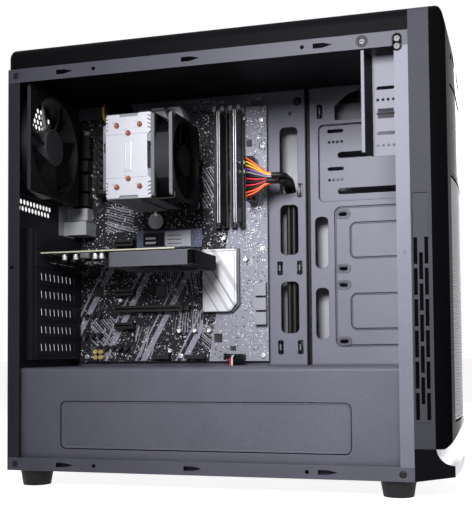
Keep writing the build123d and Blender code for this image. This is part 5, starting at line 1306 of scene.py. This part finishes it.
def make_screws():
    """Bright screws on the board and the card slots, grey ones in the corner and black ones elsewhere."""
    bright, grey, dark = [], [], []
    for points in shells(nodes["case_screws"]):
        seat, direction = screw_seat(points)
        move = shift(*seat) @ direction.to_track_quat("Z", "Y").to_matrix().to_4x4()
        on_board = 50 < seat.x < 64 and direction.x < 0
        on_slots = -62 < seat.x < -50 and direction.x < 0
        at_corner = seat.x < -90 and seat.y < -150 and seat.z > 400
        (bright if on_board or on_slots else grey if at_corner else dark).append(move)
    for name, moves, material in (
        ("board_screws", bright, "screw_steel"),
        ("corner_screws", grey, "screw_grey"),
        ("frame_screws", dark, "screw_black"),
    ):
        fit(scatter(name, make_screw("screw", material), moves), "screw_steel", "case_screws")


# Fine front mesh, bowed like the plastic front around it
MESH_HALF, MESH_LOW, MESH_HIGH = 74.7, above(56.3), above(297.7)
MESH_NOSE, MESH_EDGE, MESH_EDGE_HALF = -241.2, -234.7, 90.2
MESH_GRID, MESH_PITCH, MESH_WEB, MESH_WALL, MESH_INSET = 300, 4.2, 0.55, 1.2, 1.6


def mesh_bow(across):
    """Y of the mesh face at a distance across it: an arc through the nose and both edges."""
    rise = MESH_EDGE - MESH_NOSE
    radius = (MESH_EDGE_HALF ** 2 + rise ** 2) / (2 * rise)
    return MESH_NOSE + radius - math.sqrt(radius ** 2 - across ** 2)


def make_front_mesh():
    """Diamond mesh with a closed edge, cut from a grid that lies corner up."""
    rest()
    count = round(MESH_GRID / MESH_PITCH)
    bpy.ops.mesh.primitive_grid_add(
        x_subdivisions=count, y_subdivisions=count, size=MESH_GRID * mm, location=(0, 0, 0),
        rotation=(math.pi / 2, 0, 0),
    )
    mesh = started("fine_mesh")
    mesh.data.transform(shift(0, 0, (MESH_LOW + MESH_HIGH) / 2) @ Matrix.Rotation(math.pi / 4, 4, "Y"))
    take_all(mesh)
    for place, outward in (
        ((MESH_HALF - MESH_INSET, 0, 0), (1, 0, 0)), ((MESH_INSET - MESH_HALF, 0, 0), (-1, 0, 0)),
        ((0, 0, MESH_HIGH - MESH_INSET), (0, 0, 1)), ((0, 0, MESH_LOW + MESH_INSET), (0, 0, -1)),
    ):
        bpy.ops.mesh.select_all(action="SELECT")
        bpy.ops.mesh.bisect(plane_co=Vector(place) * mm, plane_no=outward, clear_outer=True)
    bpy.ops.mesh.select_mode(type="FACE")
    bpy.ops.mesh.select_all(action="SELECT")
    bpy.ops.mesh.inset(thickness=MESH_WEB * mm, use_individual=True)
    bpy.ops.mesh.delete(type="FACE")
    mode("OBJECT")
    for vertex in mesh.data.vertices:
        vertex.co.y = mesh_bow(vertex.co.x / mm) * mm
    take(mesh)
    wall = mesh.modifiers.new("wall", "SOLIDIFY")
    wall.thickness = MESH_WALL * mm
    wall.offset = -1
    bpy.ops.object.modifier_apply(modifier=wall.name)
    fit(coat(mesh, "silver_mesh"), "silver_mesh", "front_mesh")


# Near-black screens behind the slots of the two side grilles, which keep the inside from showing through them
def make_vent_screens():
    """Thin screen with a sunk field and a raised rim behind each grille."""
    for name, near, far in (("left_screen", -96.4, -95.8), ("right_screen", 95.8, 96.4)):
        screen = block(name, (near, -216.4, above(57)), (far, -202.0, above(277)))
        sink(screen, lambda middle, normal: abs(normal.x) > 0.9, 0.8, 0.15)
        fit(coat(soften(screen, 0.06), "screen_black"), "plastic_black")


# Graphics card: cans, coils and small parts under its board, by their X and Y
CARD_UNDERSIDE = 256.7
CARD_CANS = ((-42, 196), (-42, 182), (-42, 158), (-34, 176), (-42, 150), (-26, 190), (-26, 168))
CARD_COILS = ((-38, 163), (-24, 148), (-10, 148))
CARD_SMALL_PARTS = 70


def make_graphics_parts():
    """Cans, coils and small parts that hang under the card's board behind its cooler."""
    hang = shift(0, 0, CARD_UNDERSIDE) @ Matrix.Rotation(-math.pi / 2, 4, "Y") @ shift(-BOARD_FACE, 0, 0)
    rng = Random(5)
    spots = [(rng.uniform(-46, 30), rng.uniform(144, 214)) for _ in range(CARD_SMALL_PARTS)]
    kinds = (
        ("card_cans", make_can("card_can", 2.9, 7.5, "can_silver"), CARD_CANS),
        ("card_coils", make_coil("card_coil"), CARD_COILS),
        ("card_small_parts", make_small_part("card_part", 2.0, 1.25, 0.7, "chip_black"), spots),
    )
    pieces = [scatter(name, part, [shift(x, y, 0) @ hang for x, y in places]) for name, part, places in kinds]
    fit(join("graphics_parts", pieces), "component_grey")


for make in (
    make_cables, make_cooler_plate, make_pipes, make_module_edges, make_regulator_sinks, make_controller_sink,
    make_board_parts, make_screws, make_front_mesh, make_vent_screens, make_graphics_parts,
):
    make()


# Camera at the photograph's place
CAMERA_PLACE = Vector((-1.003, -0.2845, 0.1423))
CAMERA_AIM = Vector((0.960, 0.277, 0.0457))
CAMERA_ROLL = math.radians(-0.48)
CAMERA_LENS, CAMERA_SENSOR, CAMERA_SHIFT = 66.15, 36, 0.1137


def looking(place, direction):
    """Matrix of a camera or lamp at a place that looks in a direction."""
    return Matrix.Translation(place) @ direction.to_track_quat("-Z", "Y").to_matrix().to_4x4()


def set_camera():
    """Camera with the photograph's place, aim, lens and framing."""
    lens = bpy.data.cameras.new("camera")
    lens.lens = CAMERA_LENS
    lens.sensor_width = CAMERA_SENSOR
    lens.shift_y = CAMERA_SHIFT
    lens.clip_start = 0.01
    camera = bpy.data.objects.new("camera", lens)
    bpy.context.scene.collection.objects.link(camera)
    camera.matrix_world = looking(CAMERA_PLACE, CAMERA_AIM) @ Matrix.Rotation(CAMERA_ROLL, 4, "Z")
    bpy.context.scene.camera = camera


def seen_rays(tree):
    """One for rays that see the background directly, in a mirror or through glass."""
    path = tree.nodes.new("ShaderNodeLightPath").outputs
    direct = add_math(tree, "MAXIMUM", path["Is Camera Ray"], path["Is Glossy Ray"])
    return add_math(tree, "MAXIMUM", direct, path["Is Transmission Ray"])


AMBIENT = 0.035


def set_world():
    """White surroundings to the eye, with a weaker even light on the object."""
    world = bpy.data.worlds.new("studio")
    bpy.context.scene.world = world
    world.use_nodes = True
    tree = world.node_tree
    background = tree.nodes["Background"].inputs
    background["Color"].default_value = (1, 1, 1, 1)
    put(tree, add_range(tree, seen_rays(tree), 0.0, 1.0, AMBIENT, 1.0), background["Strength"])


FLOOR_SIZE, FLOOR_GLOW = 30, 0.9
FLOOR_COLOUR = (0.8, 0.8, 0.8, 1)


def add_floor():
    """Pale floor that keeps a soft shadow and reads as white where the light reaches it."""
    rest()
    bpy.ops.mesh.primitive_grid_add(x_subdivisions=4, y_subdivisions=4, size=FLOOR_SIZE, location=(0, 0, 0))
    floor = bpy.context.object
    floor.name = "floor"
    material = bpy.data.materials.new("floor_white")
    material.use_nodes = True
    tree = material.node_tree
    tree.nodes.remove(tree.nodes["Principled BSDF"])
    matt = add_node(tree, "ShaderNodeBsdfDiffuse", {"Color": FLOOR_COLOUR}).outputs[0]
    strength = product(tree, seen_rays(tree), FLOOR_GLOW)
    glow = add_node(tree, "ShaderNodeEmission", {"Strength": strength}).outputs[0]
    both = add_node(tree, "ShaderNodeAddShader", {0: matt, 1: glow}).outputs[0]
    put(tree, both, tree.nodes["Material Output"].inputs["Surface"])
    floor.data.materials.append(material)


# Soft square lamps: place, aim, size in metres, power, and the angle of the beam in degrees
LAMPS = {
    "key": ((-0.95, -0.04, 0.62), (0.07, -0.26, 0.32), 0.35, 3.6, 78),
    "front_fill": ((-0.6, -1.8, 0.9), (0, -0.2, 0.25), 1.2, 5, 180),
    "right_fill": ((1.5, 0.1, 0.5), (0, 0.0, 0.24), 1.0, 6, 120),
    "rear_fill": ((0.5, 1.6, 0.45), (0.05, 0.2, 0.24), 1.0, 2.2, 120),
}


def add_lamp(name, place, aim, size, power, spread):
    """Lamp at a place, turned to a point."""
    data = bpy.data.lights.new(name, "AREA")
    data.shape = "RECTANGLE"
    data.size = data.size_y = size
    data.energy = power
    data.spread = math.radians(spread)
    lamp = bpy.data.objects.new(name, data)
    bpy.context.scene.collection.objects.link(lamp)
    lamp.matrix_world = looking(place, Vector(aim) - Vector(place))


bpy.context.scene.view_settings.view_transform = "Standard"
set_camera()
set_world()
add_floor()
for lamp_name, settings in LAMPS.items():
    add_lamp(lamp_name, *settings)
